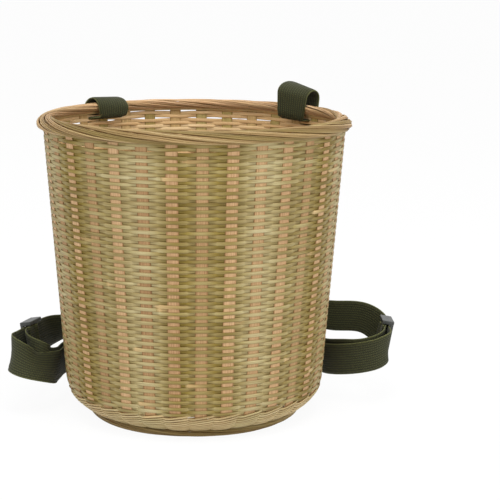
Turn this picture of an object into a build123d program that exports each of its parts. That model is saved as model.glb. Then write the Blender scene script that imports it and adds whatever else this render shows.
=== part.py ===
# Bamboo back basket: a plain-woven round basket on a foot hoop, with a rolled rim and two webbing straps.
# Millimetres. Z is up, the front is -Y, and the origin is the centre of the foot hoop's underside.
import os
from math import atan2, cos, degrees, hypot, pi, radians, sin, sqrt, tan

from build123d import *

os.makedirs("parts", exist_ok=True)

# Driving dimensions of the basket
rim_diameter = 240.0
basket_height = 230.0
rim_roll_width = 12.0
rim_roll_height = 9.5
rim_overhang = 4.9
base_flat_radius = 73.5
shoulder_radius = 27.0
foot_radius = 79.3
foot_width = 5.6
foot_height = 5.4
foot_edge_radius = 2.0

# Driving dimensions of the strips, wefts and hoops
stake_count = 33
stake_turn = -2.75
stake_width = 9.0
strip_thickness = 1.0
weft_thickness = 0.7
stake_recess = 0.2
strip_turn = 6.0
half_strip_length = 30.0
twining_height = 11.5
twining_radius = 80.5
weft_band_count = 13
hoop_thickness = 1.6
hoop_height = 5.6
hoop_lift = 1.6

# Driving dimensions of the webbing
webbing_width = 25.0
webbing_thickness = 1.6
gathered_width = 10.0
gathered_thickness = 2.4
loop_flat = 1.0
loop_tail = 22.0
neck_drop = 2.6
stitch_length = 3.4
stitch_width = 0.7
stitch_rows = 5
stitch_columns = 4
anchor_rise = 27.2
anchor_stand_off = 9.0
anchor_leg = 3.0
knuckle_radius = 2.6
knuckle_gap = 4.7
upper_knuckle_length = 20.0
stub_width = 4.4
hang_narrowing = 38.0
hang_gathered = 11.0
gather_start = 8.0
gather_end = 38.0
ribbon_steps = 16

# Driving dimensions of the sliders
slider_length = 20.0
slider_rail = 3.2
slider_bar_width = 3.4
slider_bar_thickness = 2.2
slider_bar_inset = 0.3
slider_core_radius = 1.2
slider_travel = 10.0
slider_lean = 10.0
slider_edge_radius = 0.7
sewn_length = 13.0

# Clearances
seat_clearance = 0.1
strip_clearance = 0.05
loop_clearance = 0.3
slot_clearance = 0.5
turn_clearance = 0.3
sliding_clearance = 0.3

# The wall's outline: a straight taper that runs into a rounded shoulder and the flat bottom
foot_seat_radius = foot_radius - foot_width / 2 + foot_edge_radius
seat_rise = shoulder_radius - sqrt(shoulder_radius**2 - (foot_seat_radius - base_flat_radius) ** 2)
base_underside = foot_height + seat_clearance - stake_recess - seat_rise
corner_height = base_underside + shoulder_radius
wall_top = basket_height - rim_roll_height
wall_top_radius = rim_diameter / 2 - rim_overhang
wall_thickness = strip_thickness + 2 * weft_thickness
top_reach = wall_top_radius - base_flat_radius
top_rise = wall_top - corner_height
straight_run = sqrt(top_reach**2 + top_rise**2 - shoulder_radius**2)
taper = atan2(top_reach, top_rise) - atan2(shoulder_radius, straight_run)

# Levels and depths that the strips, wefts and hoops share
stake_depth = stake_recess + strip_thickness
layer_step = strip_thickness + strip_clearance
twining_top = base_underside + twining_height
turn_radius = base_flat_radius - strip_turn
hoop_low = wall_top + hoop_lift
hoop_high = hoop_low + hoop_height
stake_corner = wall_top_radius - sqrt(wall_top_radius**2 - (stake_width / 2) ** 2)
outer_hoop_face = stake_recess - strip_clearance - stake_corner
inner_hoop_face = stake_depth + strip_clearance
rim_radius = rim_diameter / 2 - rim_roll_width / 2
rim_middle = basket_height - rim_roll_height / 2

# Levels and places that the straps share
slot_width = gathered_width + 2 * slot_clearance
slot_height = gathered_thickness + 2 * slot_clearance
rim_inside = sqrt((rim_radius - rim_roll_width / 2) ** 2 - (webbing_width / 2) ** 2)
inner_leg_radius = rim_inside - loop_clearance - webbing_thickness / 2
outer_leg_radius = rim_radius + rim_roll_width / 2 + loop_clearance + webbing_thickness / 2
loop_bend_radius = (outer_leg_radius - inner_leg_radius - loop_flat) / 2
neck_height = wall_top - neck_drop
loop_low = neck_height - loop_tail
anchor_height = base_underside + anchor_rise
anchor_low = anchor_height - gathered_width / 2
anchor_high = anchor_height + gathered_width / 2
leg_inside = stake_width / 2 + slot_clearance + strip_clearance
lower_knuckle_low = anchor_high + turn_clearance
lower_knuckle_high = lower_knuckle_low + gathered_width
upper_knuckle_low = lower_knuckle_high + knuckle_gap
upper_knuckle_high = upper_knuckle_low + upper_knuckle_length

# Levels inside a slider, measured outwards from the middle of the webbing that runs through it
outer_bar_level = webbing_thickness / 2 + sliding_clearance + slider_bar_thickness / 2
sewn_radius = slider_core_radius + seat_clearance + webbing_thickness
core_level = -(webbing_thickness / 2 + sliding_clearance + sewn_radius)
rail_low = core_level - slider_core_radius - slider_edge_radius
rail_high = outer_bar_level + slider_bar_thickness / 2 + slider_bar_inset
rail_middle = webbing_width / 2 + slot_clearance + slider_rail / 2


def save(piece, name):
    """Label a finished piece and write it under its own name."""
    piece.label = name
    export_step(piece, f"parts/{name}.step")


def wall_radius(height, depth=0.0):
    """Radius of the wall at a height, at a depth below its outer face."""
    bend = shoulder_radius - depth
    wall_start = corner_height - bend * sin(taper)
    if height >= wall_start:
        return base_flat_radius + bend * cos(taper) + (height - wall_start) * tan(taper)
    return base_flat_radius + sqrt(bend**2 - (corner_height - height) ** 2)


def radial_plane(bearing):
    """Upright plane through the basket's axis: local X points outwards and local Y points up."""
    turn = radians(bearing)
    return Plane(origin=(0, 0, 0), x_dir=(cos(turn), sin(turn), 0), z_dir=(sin(turn), -cos(turn), 0))


def layer_face(shallow, deep, top, inner_end, lift=0.0):
    """Section of a layer that follows the wall, the shoulder and the flat bottom between two depths."""
    centre = Vector(base_flat_radius + lift * tan(taper), corner_height + lift)
    out = Vector(cos(taper), -sin(taper))
    middle = Vector(cos((pi / 2 + taper) / 2), -sin((pi / 2 + taper) / 2))
    outer_bend = shoulder_radius - shallow
    inner_bend = shoulder_radius - deep
    outer_low = centre - Vector(0, outer_bend)
    inner_low = centre - Vector(0, inner_bend)
    with BuildSketch() as layer:
        with BuildLine():
            Line((wall_radius(top, shallow), top), centre + out * outer_bend)
            ThreePointArc(centre + out * outer_bend, centre + middle * outer_bend, outer_low)
            Polyline(outer_low, (inner_end, outer_low.Y), (inner_end, inner_low.Y), inner_low)
            ThreePointArc(inner_low, centre + middle * inner_bend, centre + out * inner_bend)
            Polyline(
                centre + out * inner_bend,
                (wall_radius(top, deep), top),
                (wall_radius(top, shallow), top),
            )
        make_face()
    return layer.sketch


# Strips. Stakes are numbered round the basket from the back. On the bottom the strips lie in two layers:
# those that run from side to side underneath, and those that run from front to back on top of them.
strip_count = stake_count // 2
side_count = strip_count // 2
front_count = strip_count - side_count
half_count = stake_count % 2
back_left = list(range(half_count, half_count + front_count // 2))
left_side = list(range(back_left[-1] + 1, back_left[-1] + 1 + side_count))
front = list(range(left_side[-1] + 1, left_side[-1] + 1 + front_count))
right_side = list(range(front[-1] + 1, front[-1] + 1 + side_count))
back_right = list(range(right_side[-1] + 1, stake_count))
side_pairs = list(zip(left_side, reversed(right_side)))
front_pairs = list(zip(back_left[::-1] + back_right[::-1], front))


def stake_bearing(number):
    """Direction of a stake, in degrees counter-clockwise from +X."""
    return 90 + stake_turn + number * 360 / stake_count


def nearest_stake(bearing):
    """Direction of the stake nearest to a bearing."""
    return stake_bearing(round((bearing - stake_bearing(0)) * stake_count / 360))


def nearest_gap(bearing):
    """Direction of the middle of the gap between two stakes that is nearest to a bearing."""
    return stake_bearing(round((bearing - stake_bearing(0)) * stake_count / 360 - 0.5) + 0.5)


def make_strip(name, stakes, lift):
    """One strip: up one wall, across the bottom and up the other wall."""
    bearings = [stake_bearing(number) for number in stakes]
    ends = [Vector(turn_radius, 0).rotate(Axis.Z, bearing) for bearing in bearings]
    across = ends[1] - ends[0]
    with BuildPart() as strip:
        for bearing in bearings:
            with BuildSketch(radial_plane(bearing)):
                add(layer_face(stake_recess, stake_depth, hoop_high, turn_radius, lift))
            extrude(amount=stake_width / 2, both=True)
        with BuildSketch(Plane.XY.offset(base_underside + stake_recess + lift)):
            with Locations((ends[0] + ends[1]) / 2):
                SlotCenterToCenter(across.length, stake_width, rotation=degrees(atan2(across.Y, across.X)))
        extrude(amount=strip_thickness)
    save(strip.part, name)


for index, stakes in enumerate(side_pairs, 1):
    make_strip(f"side_strip_{index}", stakes, 0.0)
for index, stakes in enumerate(front_pairs, 1):
    make_strip(f"front_strip_{index}", stakes, layer_step)

# The half strip starts on the bottom, between two front-to-back strips, and makes the number of stakes odd
for number in range(half_count):
    with BuildPart() as half_strip:
        with BuildSketch(radial_plane(stake_bearing(number))):
            add(layer_face(stake_recess, stake_depth, hoop_high, turn_radius - half_strip_length, layer_step))
        extrude(amount=stake_width / 2, both=True)
    save(half_strip.part, "half_strip")


# Straps. Route points are chosen by eye: degrees from the back, distance off the wall, height above the anchor.
class Strap:
    """One shoulder strap: its side, its loop over the rim, its slider's place and its route."""

    def __init__(self, name, side, loop_angle, loop_rise, turn, slider_at, upper, lower, inner):
        self.name = name
        self.side = side
        self.loop_angle = loop_angle
        self.loop_rise = loop_rise
        self.heading = Vector(0, -1, 0).rotate(Axis.Z, turn)
        self.slider_at = slider_at
        self.upper = upper
        self.lower = lower
        self.inner = inner

    def bearing(self):
        """Direction of the loop over the rim."""
        return 90 - self.side * self.loop_angle

    def point(self, angle, off_wall, rise):
        """Place at an angle from the back, a distance off the wall and a height above the anchor."""
        height = anchor_height + rise
        flat = Vector(wall_radius(height) + off_wall, 0).rotate(Axis.Z, 90 - self.side * angle)
        return Vector(flat.X, flat.Y, height)

    def hold(self, height):
        """Place on the swing axis, which stands outside the stake that the lower turn goes round."""
        reach = wall_radius(anchor_height) + anchor_stand_off
        flat = Vector(reach, 0).rotate(Axis.Z, nearest_stake(self.bearing()))
        return Vector(flat.X, flat.Y, height)

    def outward(self, along, lean):
        """Direction out of the arm loop, square to a direction along the webbing."""
        level = Vector(0, 0, 1).cross(along).normalized() * self.side
        return level.rotate(Axis((0, 0, 0), along), -self.side * lean)

    def slider_plane(self):
        """Plane of the slider: local X along the webbing and local Z out of the arm loop."""
        facing = self.outward(self.heading, slider_lean)
        return Plane(origin=self.point(*self.slider_at), x_dir=self.heading, z_dir=facing)


right_strap = Strap(
    name="right",
    side=1,
    loop_angle=48.5,
    loop_rise=15.0,
    turn=0.0,
    slider_at=(81.4, 52.4, 17.0),
    upper=[(53.5, 16.6, 28.0), (60.5, 28.4, 25.5), (66.4, 43.6, 26.0), (70.7, 53.4, 22.0)],
    lower=[
        (92.3, 45.9, 14.0),
        (92.1, 33.8, 9.0),
        (87.1, 18.2, 4.0),
        (78.4, 8.7, 0.0),
        (66.3, 6.5, -0.5),
        (54.8, 7.4, 8.5),
    ],
    inner=[
        (90.0, 42.8, 14.0),
        (90.8, 34.6, 9.0),
        (86.1, 20.4, 4.0),
        (77.9, 11.8, 0.0),
        (66.3, 9.7, -0.5),
        (54.9, 10.4, 8.5),
        (49.1, 10.8, 11.4),
    ],
)
left_strap = Strap(
    name="left",
    side=-1,
    loop_angle=42.9,
    loop_rise=3.5,
    turn=-20.0,
    slider_at=(80.3, 28.8, 16.0),
    upper=[(51.2, 15.6, 24.0), (61.0, 22.6, 18.5), (65.6, 25.8, 17.0)],
    lower=[
        (93.2, 42.8, 11.0),
        (98.5, 41.2, 9.0),
        (100.8, 27.1, 7.0),
        (97.1, 12.1, 2.5),
        (87.8, 6.0, 0.0),
        (75.2, 6.0, -0.5),
        (61.3, 6.2, -0.5),
        (49.5, 7.4, 8.5),
    ],
    inner=[
        (90.7, 28.6, 13.5),
        (94.3, 25.9, 11.0),
        (96.2, 19.9, 8.0),
        (95.2, 13.8, 4.0),
        (87.5, 9.1, 0.0),
        (75.2, 9.2, -0.5),
        (61.4, 9.5, -0.5),
        (49.7, 10.4, 8.5),
        (43.6, 10.8, 11.4),
    ],
)
straps = [right_strap, left_strap]


def neck_block(strap, width, height):
    """The gathered neck of a rim loop, which passes through the wall between two stakes."""
    aside = wall_radius(neck_height) * sin(radians(nearest_gap(strap.bearing()) - strap.bearing()))
    with BuildPart() as block:
        with BuildSketch(radial_plane(strap.bearing())):
            with Locations(((inner_leg_radius + outer_leg_radius) / 2, neck_height)):
                Rectangle(outer_leg_radius - inner_leg_radius, height)
        extrude(amount=width / 2, both=True)
    return block.part.translate(Vector(0, aside).rotate(Axis.Z, strap.bearing()))


def turn_block(strap, grow):
    """The lower turn, a drop-shaped ring round one stake, grown on every side where it cuts its slots."""
    inside = wall_radius(anchor_low, wall_thickness) - turn_clearance
    shoulder = wall_radius(anchor_high) + anchor_leg
    tip = wall_radius(anchor_height) + anchor_stand_off
    wide = leg_inside + anchor_leg
    with BuildPart() as block:
        with BuildSketch(Plane.XY.offset(anchor_low - grow)):
            with BuildLine():
                Polyline(
                    (inside - gathered_thickness, -wide - grow),
                    (inside - gathered_thickness, wide + grow),
                    (shoulder, wide + grow),
                    (tip, knuckle_radius + grow),
                    (tip, -knuckle_radius - grow),
                    (shoulder, -wide - grow),
                    close=True,
                )
            make_face()
            with BuildLine():
                Polyline(
                    (inside, -leg_inside + grow),
                    (inside, leg_inside - grow),
                    (shoulder - anchor_leg / 2, leg_inside - grow),
                    (tip - 2 * knuckle_radius, 0),
                    (shoulder - anchor_leg / 2, -leg_inside + grow),
                    close=True,
                )
            make_face(mode=Mode.SUBTRACT)
        extrude(amount=gathered_width + 2 * grow)
    return block.part.rotate(Axis.Z, nearest_stake(strap.bearing()))


# Wefts: bands of rounds from the twining up to the rim, grooved for the stakes and slotted for the straps
def stake_grooves(pairs, extra, shallow, deep, lift):
    """Cutters for the grooves that the stakes of some strips lie in."""
    bearings = [stake_bearing(number) for pair in pairs for number in pair]
    bearings += [stake_bearing(number) for number in extra]
    with BuildPart() as groove:
        with BuildSketch(Plane.XZ):
            add(layer_face(shallow, deep, hoop_high, turn_radius, lift))
        extrude(amount=stake_width / 2 + strip_clearance, both=True)
    with BuildPart() as grooves:
        with Locations(*[Location((0, 0, 0), (0, 0, bearing)) for bearing in bearings]):
            add(groove.part)
    return grooves.part


def make_wefts(name, low, high, inner_edge, cutters):
    """A ring of wefts between two heights, with its grooves and slots cut."""
    with BuildPart() as wefts:
        with BuildSketch(Plane.XZ):
            add(layer_face(0.0, wall_thickness, wall_top, turn_radius))
            with Locations((inner_edge, low)):
                Rectangle(rim_diameter, high - low, align=(Align.MIN, Align.MIN), mode=Mode.INTERSECT)
        revolve(axis=Axis.Z)
        for cutter in cutters:
            add(cutter, mode=Mode.SUBTRACT)
    save(wefts.part, name)


groove_depth = stake_depth + strip_clearance
side_grooves = stake_grooves(side_pairs, [], -wall_thickness, groove_depth, 0.0)
front_grooves = stake_grooves(front_pairs, range(half_count), -wall_thickness, groove_depth, layer_step)
raised_grooves = stake_grooves(
    front_pairs, range(half_count), stake_recess - strip_clearance, wall_thickness + layer_step, layer_step
)
neck_slots = [neck_block(strap, slot_width, slot_height) for strap in straps]
turn_slots = [turn_block(strap, slot_clearance) for strap in straps]

make_wefts("corner_twining", 0.0, twining_top, twining_radius, [side_grooves, raised_grooves])
band_height = (wall_top - twining_top) / weft_band_count
for band in range(weft_band_count):
    band_low = twining_top + band * band_height
    band_high = band_low + band_height
    cutters = [side_grooves, front_grooves]
    if band_low < neck_height + slot_height / 2 and band_high > neck_height - slot_height / 2:
        cutters += neck_slots
    if band_low < anchor_high + slot_clearance and band_high > anchor_low - slot_clearance:
        cutters += turn_slots
    make_wefts(f"weft_band_{band + 1:02d}", band_low, band_high, 0.0, cutters)

# Foot hoop, flat underneath
with BuildPart() as foot_hoop:
    with BuildSketch(Plane.XZ):
        with Locations((foot_radius, foot_height / 2)):
            RectangleRounded(foot_width, foot_height, foot_edge_radius)
    revolve(axis=Axis.Z)
save(foot_hoop.part, "foot_hoop")


# Rim: two hoops that hold the stake ends between them, and the roll of splints round both
def hoop_section(shallow, deep, low, high):
    """Section of a ring that lies along the wall between two depths and two heights."""
    with BuildSketch() as section:
        with BuildLine():
            Polyline(
                (wall_radius(low, shallow), low),
                (wall_radius(high, shallow), high),
                (wall_radius(high, deep), high),
                (wall_radius(low, deep), low),
                close=True,
            )
        make_face()
    return section.sketch


with BuildPart() as rim_hoop_outer:
    with BuildSketch(Plane.XZ):
        add(hoop_section(outer_hoop_face - hoop_thickness, outer_hoop_face, hoop_low, hoop_high))
    revolve(axis=Axis.Z)
save(rim_hoop_outer.part, "rim_hoop_outer")

with BuildPart() as rim_hoop_inner:
    with BuildSketch(Plane.XZ):
        add(hoop_section(inner_hoop_face, inner_hoop_face + hoop_thickness, hoop_low, hoop_high))
    revolve(axis=Axis.Z)
save(rim_hoop_inner.part, "rim_hoop_inner")

with BuildPart() as rim_roll:
    with BuildSketch(Plane.XZ):
        with Locations((rim_radius, rim_middle)):
            Ellipse(rim_roll_width / 2, rim_roll_height / 2)
        add(
            hoop_section(
                outer_hoop_face - hoop_thickness - seat_clearance,
                inner_hoop_face + hoop_thickness + seat_clearance,
                hoop_low - seat_clearance,
                hoop_high + seat_clearance,
            ),
            mode=Mode.SUBTRACT,
        )
        add(hoop_section(outer_hoop_face, inner_hoop_face, wall_top - hoop_lift, hoop_low), mode=Mode.SUBTRACT)
    revolve(axis=Axis.Z)
save(rim_roll.part, "rim_roll")


def make_rim_loop(strap):
    """Loop over the rim: down inside, out through the wall, and sewn to itself outside."""
    crest = basket_height + strap.loop_rise + loop_clearance + webbing_thickness / 2
    with BuildPart() as rim_loop:
        with BuildSketch(radial_plane(strap.bearing())):
            with BuildLine():
                FilletPolyline(
                    (inner_leg_radius, neck_height - gathered_thickness / 2),
                    (inner_leg_radius, crest),
                    (outer_leg_radius, crest),
                    (outer_leg_radius, loop_low),
                    radius=loop_bend_radius,
                )
            trace(line_width=webbing_thickness)
            with Locations((outer_leg_radius - webbing_thickness, (neck_height + loop_low) / 2)):
                Rectangle(webbing_thickness, loop_tail)
        extrude(amount=webbing_width / 2, both=True)
        add(neck_block(strap, gathered_width, gathered_thickness))
    save(rim_loop.part, f"{strap.name}_rim_loop")


def make_stitches(strap):
    """Rows of stitches through the sewn tail, lying on the outside of the loop."""
    loop_plane = radial_plane(strap.bearing())
    outside = Plane(origin=(0, 0, 0), x_dir=(0, 0, 1), z_dir=loop_plane.x_dir)
    with BuildPart() as stitches:
        with BuildSketch(outside.offset(outer_leg_radius + webbing_thickness / 2)):
            column_step = loop_tail / (stitch_columns + 1)
            row_step = webbing_width / (stitch_rows + 1)
            with Locations(((neck_height + loop_low) / 2, 0)):
                with GridLocations(column_step, row_step, stitch_columns, stitch_rows):
                    SlotOverall(stitch_length, stitch_width)
        extrude(amount=stitch_width / 2)
    save(stitches.part, f"{strap.name}_loop_stitches")


def make_hanging_webbing(strap):
    """Stretch that hangs from the loop and draws together above the strap's upper knuckle."""
    loop_plane = radial_plane(strap.bearing())
    top = loop_plane.from_local_coords(Vector(outer_leg_radius, loop_low))
    end = strap.hold(upper_knuckle_high + turn_clearance)
    length = (end - top).length
    sections = [
        (0.0, webbing_width, webbing_thickness),
        (length - hang_narrowing, webbing_width, webbing_thickness),
        (length - hang_gathered, gathered_width, gathered_thickness),
        (length, stub_width, stub_width),
    ]
    with BuildPart() as hanging_webbing:
        for down, width, thickness in sections:
            at = top + (end - top) * (down / length)
            with BuildSketch(Plane(origin=at, x_dir=loop_plane.z_dir, z_dir=(0, 0, -1))):
                Rectangle(width, thickness)
        loft(ruled=True)
    save(hanging_webbing.part, f"{strap.name}_hanging_webbing")


def make_lower_turn(strap):
    """Lower turn: the webbing passes through the wall, behind one stake and out again."""
    with BuildPart() as lower_turn:
        add(turn_block(strap, 0.0))
        with Locations(strap.hold(anchor_height)):
            Cylinder(knuckle_radius, gathered_width)
    save(lower_turn.part, f"{strap.name}_lower_turn")


def ribbon_planes(strap, points, start_heading, end_heading, start_lean, end_lean):
    """Planes across webbing on edge along a smooth path: local X is its thickness, local Y its width."""
    with BuildLine() as path:
        Spline(*points, tangents=[start_heading, end_heading], tangent_scalars=[1.0, 1.0])
    planes = []
    for step in range(ribbon_steps + 1):
        share = step / ribbon_steps
        along = path.line % share
        lean = start_lean + (end_lean - start_lean) * share
        planes.append(Plane(origin=path.line @ share, x_dir=strap.outward(along, lean), z_dir=along))
    return planes


def spread_width(strap, plane, narrow):
    """Width of the webbing where it crosses a plane: narrow near its hold and full further out."""
    hold = strap.hold(0)
    away = hypot(plane.origin.X - hold.X, plane.origin.Y - hold.Y)
    share = min(max((away - gather_start) / (gather_end - gather_start), 0.0), 1.0)
    return narrow + (webbing_width - narrow) * share * share * (3 - 2 * share)


def ribbon(sections):
    """Webbing through a row of sections, each a plane and the webbing's width there, from its far end."""
    with BuildPart() as run:
        for plane, width in reversed(sections):
            with BuildSketch(plane):
                Rectangle(webbing_thickness, width)
        loft(ruled=True)
    return run.part


def level_heading(start, end):
    """Level direction from one point towards another."""
    return Vector(end.X - start.X, end.Y - start.Y, 0).normalized()


def make_strap_webbing(strap):
    """Strap: out from its upper knuckle, straight through the slider, and back to its lower knuckle."""
    slider_middle = strap.slider_plane().origin
    upper_start = strap.hold((upper_knuckle_low + upper_knuckle_high) / 2)
    upper_end = slider_middle - strap.heading * (slider_length / 2 + slider_travel + sliding_clearance)
    lower_start = slider_middle + strap.heading * (sewn_length + slider_travel + sliding_clearance)
    lower_end = strap.hold((lower_knuckle_low + lower_knuckle_high) / 2)
    upper_points = [upper_start, *[strap.point(*at) for at in strap.upper], upper_end]
    lower_points = [lower_start, *[strap.point(*at) for at in strap.lower], lower_end]
    leaving = level_heading(upper_points[0], upper_points[1])
    returning = level_heading(lower_points[-2], lower_points[-1])
    upper_planes = ribbon_planes(strap, upper_points, leaving, strap.heading, 0.0, slider_lean)
    lower_planes = ribbon_planes(strap, lower_points, strap.heading, returning, slider_lean, 0.0)
    sections = [(plane, spread_width(strap, plane, upper_knuckle_length)) for plane in upper_planes]
    sections += [(plane, spread_width(strap, plane, gathered_width)) for plane in lower_planes]
    with BuildPart() as strap_webbing:
        add(ribbon(sections))
        with Locations(upper_start):
            Cylinder(knuckle_radius, upper_knuckle_length)
        with Locations(lower_end):
            Cylinder(knuckle_radius, gathered_width)
    save(strap_webbing.part, f"{strap.name}_strap_webbing")


def make_slider(strap):
    """Slider: two outer bars outside the webbing and a middle bar inside it, joined by two rails."""
    with BuildPart(strap.slider_plane()) as slider:
        for end in (-1, 1):
            with Locations((0, end * rail_middle, (rail_low + rail_high) / 2)):
                Box(slider_length, slider_rail, rail_high - rail_low)
        fillet(slider.edges(), slider_edge_radius)
        for end in (-1, 1):
            with Locations((end * (slider_length - slider_bar_width) / 2, 0, outer_bar_level)):
                Box(slider_bar_width, 2 * rail_middle, slider_bar_thickness)
        with Locations((0, 0, core_level)):
            Cylinder(slider_core_radius, 2 * rail_middle, rotation=(90, 0, 0))
    save(slider.part, f"{strap.name}_slider")


def make_sewn_end(strap):
    """Sewn end: the webbing's end goes round the middle bar and is sewn flat to itself."""
    slider_plane = strap.slider_plane()
    core = slider_plane.from_local_coords(Vector(0, 0, core_level))
    with BuildPart() as sewn_end:
        with BuildSketch(Plane(origin=core, x_dir=strap.heading, z_dir=slider_plane.y_dir)):
            Circle(sewn_radius)
            with Locations((sewn_length / 2, 0)):
                Rectangle(sewn_length, 2 * webbing_thickness)
            Circle(slider_core_radius + seat_clearance, mode=Mode.SUBTRACT)
        extrude(amount=webbing_width / 2, both=True)
    save(sewn_end.part, f"{strap.name}_sewn_end")


def make_inner_layer(strap):
    """Inner layer: from the sewn end back along the inside of the strap to the lower turn."""
    start = strap.slider_plane().from_local_coords(Vector(sewn_length + turn_clearance, 0, core_level))
    points = [start, *[strap.point(*at) for at in strap.inner]]
    returning = level_heading(points[-2], points[-1])
    planes = ribbon_planes(strap, points, strap.heading, returning, slider_lean, 0.0)
    with BuildPart() as inner_layer:
        add(ribbon([(plane, spread_width(strap, plane, gathered_width)) for plane in planes]))
    save(inner_layer.part, f"{strap.name}_inner_layer")


for strap in straps:
    make_rim_loop(strap)
    make_stitches(strap)
    make_hanging_webbing(strap)
    make_lower_turn(strap)
    make_strap_webbing(strap)
    make_slider(strap)
    make_sewn_end(strap)
    make_inner_layer(strap)
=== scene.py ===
# %% [markdown]
# A bamboo back basket with webbing straps
#
# The basket is woven from split bamboo: flat strips run up the wall as stakes, thin splints weave round
# them, and a rope of splints covers the rim. Two webbing straps hang on the back. The engineering model
# gives every piece its place, so this lesson only makes the pieces look like what they are, in the same
# frame, in metres.

# %% Load the engineering model
from math import asin, atan2, cos, hypot, pi, radians, sin, sqrt

import bmesh
import bpy
import numpy as np
from mathutils import Matrix, Vector


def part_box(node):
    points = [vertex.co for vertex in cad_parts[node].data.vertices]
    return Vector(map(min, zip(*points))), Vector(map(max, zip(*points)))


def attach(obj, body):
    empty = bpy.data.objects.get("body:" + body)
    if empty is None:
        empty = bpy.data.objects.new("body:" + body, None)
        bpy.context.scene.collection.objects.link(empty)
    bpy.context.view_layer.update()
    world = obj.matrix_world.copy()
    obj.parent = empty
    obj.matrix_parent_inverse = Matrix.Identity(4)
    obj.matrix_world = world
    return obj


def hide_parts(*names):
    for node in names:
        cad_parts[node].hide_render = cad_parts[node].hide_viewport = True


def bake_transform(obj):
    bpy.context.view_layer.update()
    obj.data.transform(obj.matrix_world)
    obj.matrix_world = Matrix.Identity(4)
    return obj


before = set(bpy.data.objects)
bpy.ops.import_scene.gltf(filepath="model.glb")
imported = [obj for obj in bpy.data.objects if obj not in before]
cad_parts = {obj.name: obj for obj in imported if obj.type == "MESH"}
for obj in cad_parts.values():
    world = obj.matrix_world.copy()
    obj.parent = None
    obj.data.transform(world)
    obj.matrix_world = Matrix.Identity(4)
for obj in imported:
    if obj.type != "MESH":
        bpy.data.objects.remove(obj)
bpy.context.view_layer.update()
MM = 0.001
UP = Vector((0, 0, 1))
scene = bpy.context.scene
scene.view_settings.view_transform = "Standard"

# %% [markdown]
# The camera
#
# A long lens a good metre away gives the flat, calm look of a shop photograph. The camera stands in front
# of the basket and a little above the rim, so that the mouth shows as a narrow ellipse. Three small
# angles turn it: down towards the basket, a touch to the right, and a slight roll.

# %% Camera
camera_stand = Vector((0, -1179.25, 359.09)) * MM
look_down = 0.1956
look_right = 0.0364
camera_roll = 0.0084
focal_length_in_pixels = 1549.84
picture_width = 500

forward = Vector((sin(look_right) * cos(look_down), cos(look_right) * cos(look_down), -sin(look_down)))
level_right = Vector((cos(look_right), -sin(look_right), 0))
level_up = level_right.cross(forward)
camera_right = level_right * cos(camera_roll) + level_up * sin(camera_roll)
camera_up = level_up * cos(camera_roll) - level_right * sin(camera_roll)
lens = bpy.data.cameras.new("camera")
lens.sensor_width = 36.0
lens.lens = focal_length_in_pixels / picture_width * lens.sensor_width
camera = bpy.data.objects.new("camera", lens)
camera.matrix_world = Matrix.Translation(camera_stand) @ Matrix(
    (camera_right, camera_up, -forward)
).transposed().to_4x4()
scene.collection.objects.link(camera)
scene.camera = camera
print("lens", round(lens.lens, 1), "mm")

# %% [markdown]
# Node helpers
#
# A node tree is a sum drawn as boxes and wires. Writing long sums one box at a time is hard to read, so a
# small class stands for a wire and lets plain arithmetic make the boxes. The same class serves geometry
# trees and shader groups, because both use the same Math node.


# %% Wires that can be added and multiplied
def plug(tree, socket, value):
    """Feed a socket from a wire, or set it to a plain value."""
    if isinstance(value, Wire):
        tree.links.new(value.socket, socket)
    else:
        socket.default_value = value


class Wire:
    """One value in a node tree, which plain arithmetic can combine."""

    def __init__(self, tree, socket):
        self.tree = tree
        self.socket = socket

    def math(self, operation, *others):
        node = self.tree.nodes.new("ShaderNodeMath")
        node.operation = operation
        for socket, value in zip(node.inputs, (self, *others)):
            plug(self.tree, socket, value)
        return Wire(self.tree, node.outputs[0])

    def __add__(self, other):
        return self.math("ADD", other)

    def __sub__(self, other):
        return self.math("SUBTRACT", other)

    def __mul__(self, other):
        return self.math("MULTIPLY", other)

    def __truediv__(self, other):
        return self.math("DIVIDE", other)

    def __mod__(self, other):
        return self.math("FLOORED_MODULO", other)

    def __rsub__(self, other):
        return self * -1.0 + other

    def sine(self):
        return self.math("SINE")

    def cosine(self):
        return self.math("COSINE")

    def floor(self):
        return self.math("FLOOR")

    def size(self):
        return self.math("ABSOLUTE")

    def at_most(self, other):
        return self.math("MINIMUM", other)

    def at_least(self, other):
        return self.math("MAXIMUM", other)

    def share(self):
        return self.at_least(0.0).at_most(1.0)


print("wires ready")


# %% Node helpers
def add_node(tree, kind, inputs=None, settings=None, out=0):
    """Add a node, set or wire its inputs, and hand back one of its outputs as a wire."""
    node = tree.nodes.new(kind)
    for label, value in (settings or {}).items():
        setattr(node, label, value)
    for label, value in (inputs or {}).items():
        plug(tree, node.inputs[label], value)
    return Wire(tree, node.outputs[out])


def join_xyz(tree, x, y, z):
    """A vector made of three values."""
    return add_node(tree, "ShaderNodeCombineXYZ", {"X": x, "Y": y, "Z": z})


def noise(tree, vector, scale, detail=2.0):
    """Smooth noise from 0 to 1 at a vector."""
    return add_node(tree, "ShaderNodeTexNoise", {"Vector": vector, "Scale": scale, "Detail": detail})


print("node helpers ready")

# %% [markdown]
# Shared finishes: bamboo fibre, splint tint and webbing weave
#
# Every stake and splint shows the same two things: fine fibres along its length, and a tint that differs
# from one splint to the next and drifts along it. Each is a shader group, so that the stakes, wefts and
# rim can use it with their own colours. The groups read attributes that the pieces carry: how far along
# the splint a point is, how far across, and which splint it belongs to. That makes the grain follow every
# bend. A third group draws the cords and picks of the webbing, from a map that its mesh carries.


# %% Shader group helpers
def paint(red, green, blue):
    """A colour written as screen values from 0 to 255, as the linear values that shaders use."""
    shares = [value / 255 for value in (red, green, blue)]
    return (*[part / 12.92 if part <= 0.04045 else ((part + 0.055) / 1.055) ** 2.4 for part in shares], 1.0)


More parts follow.
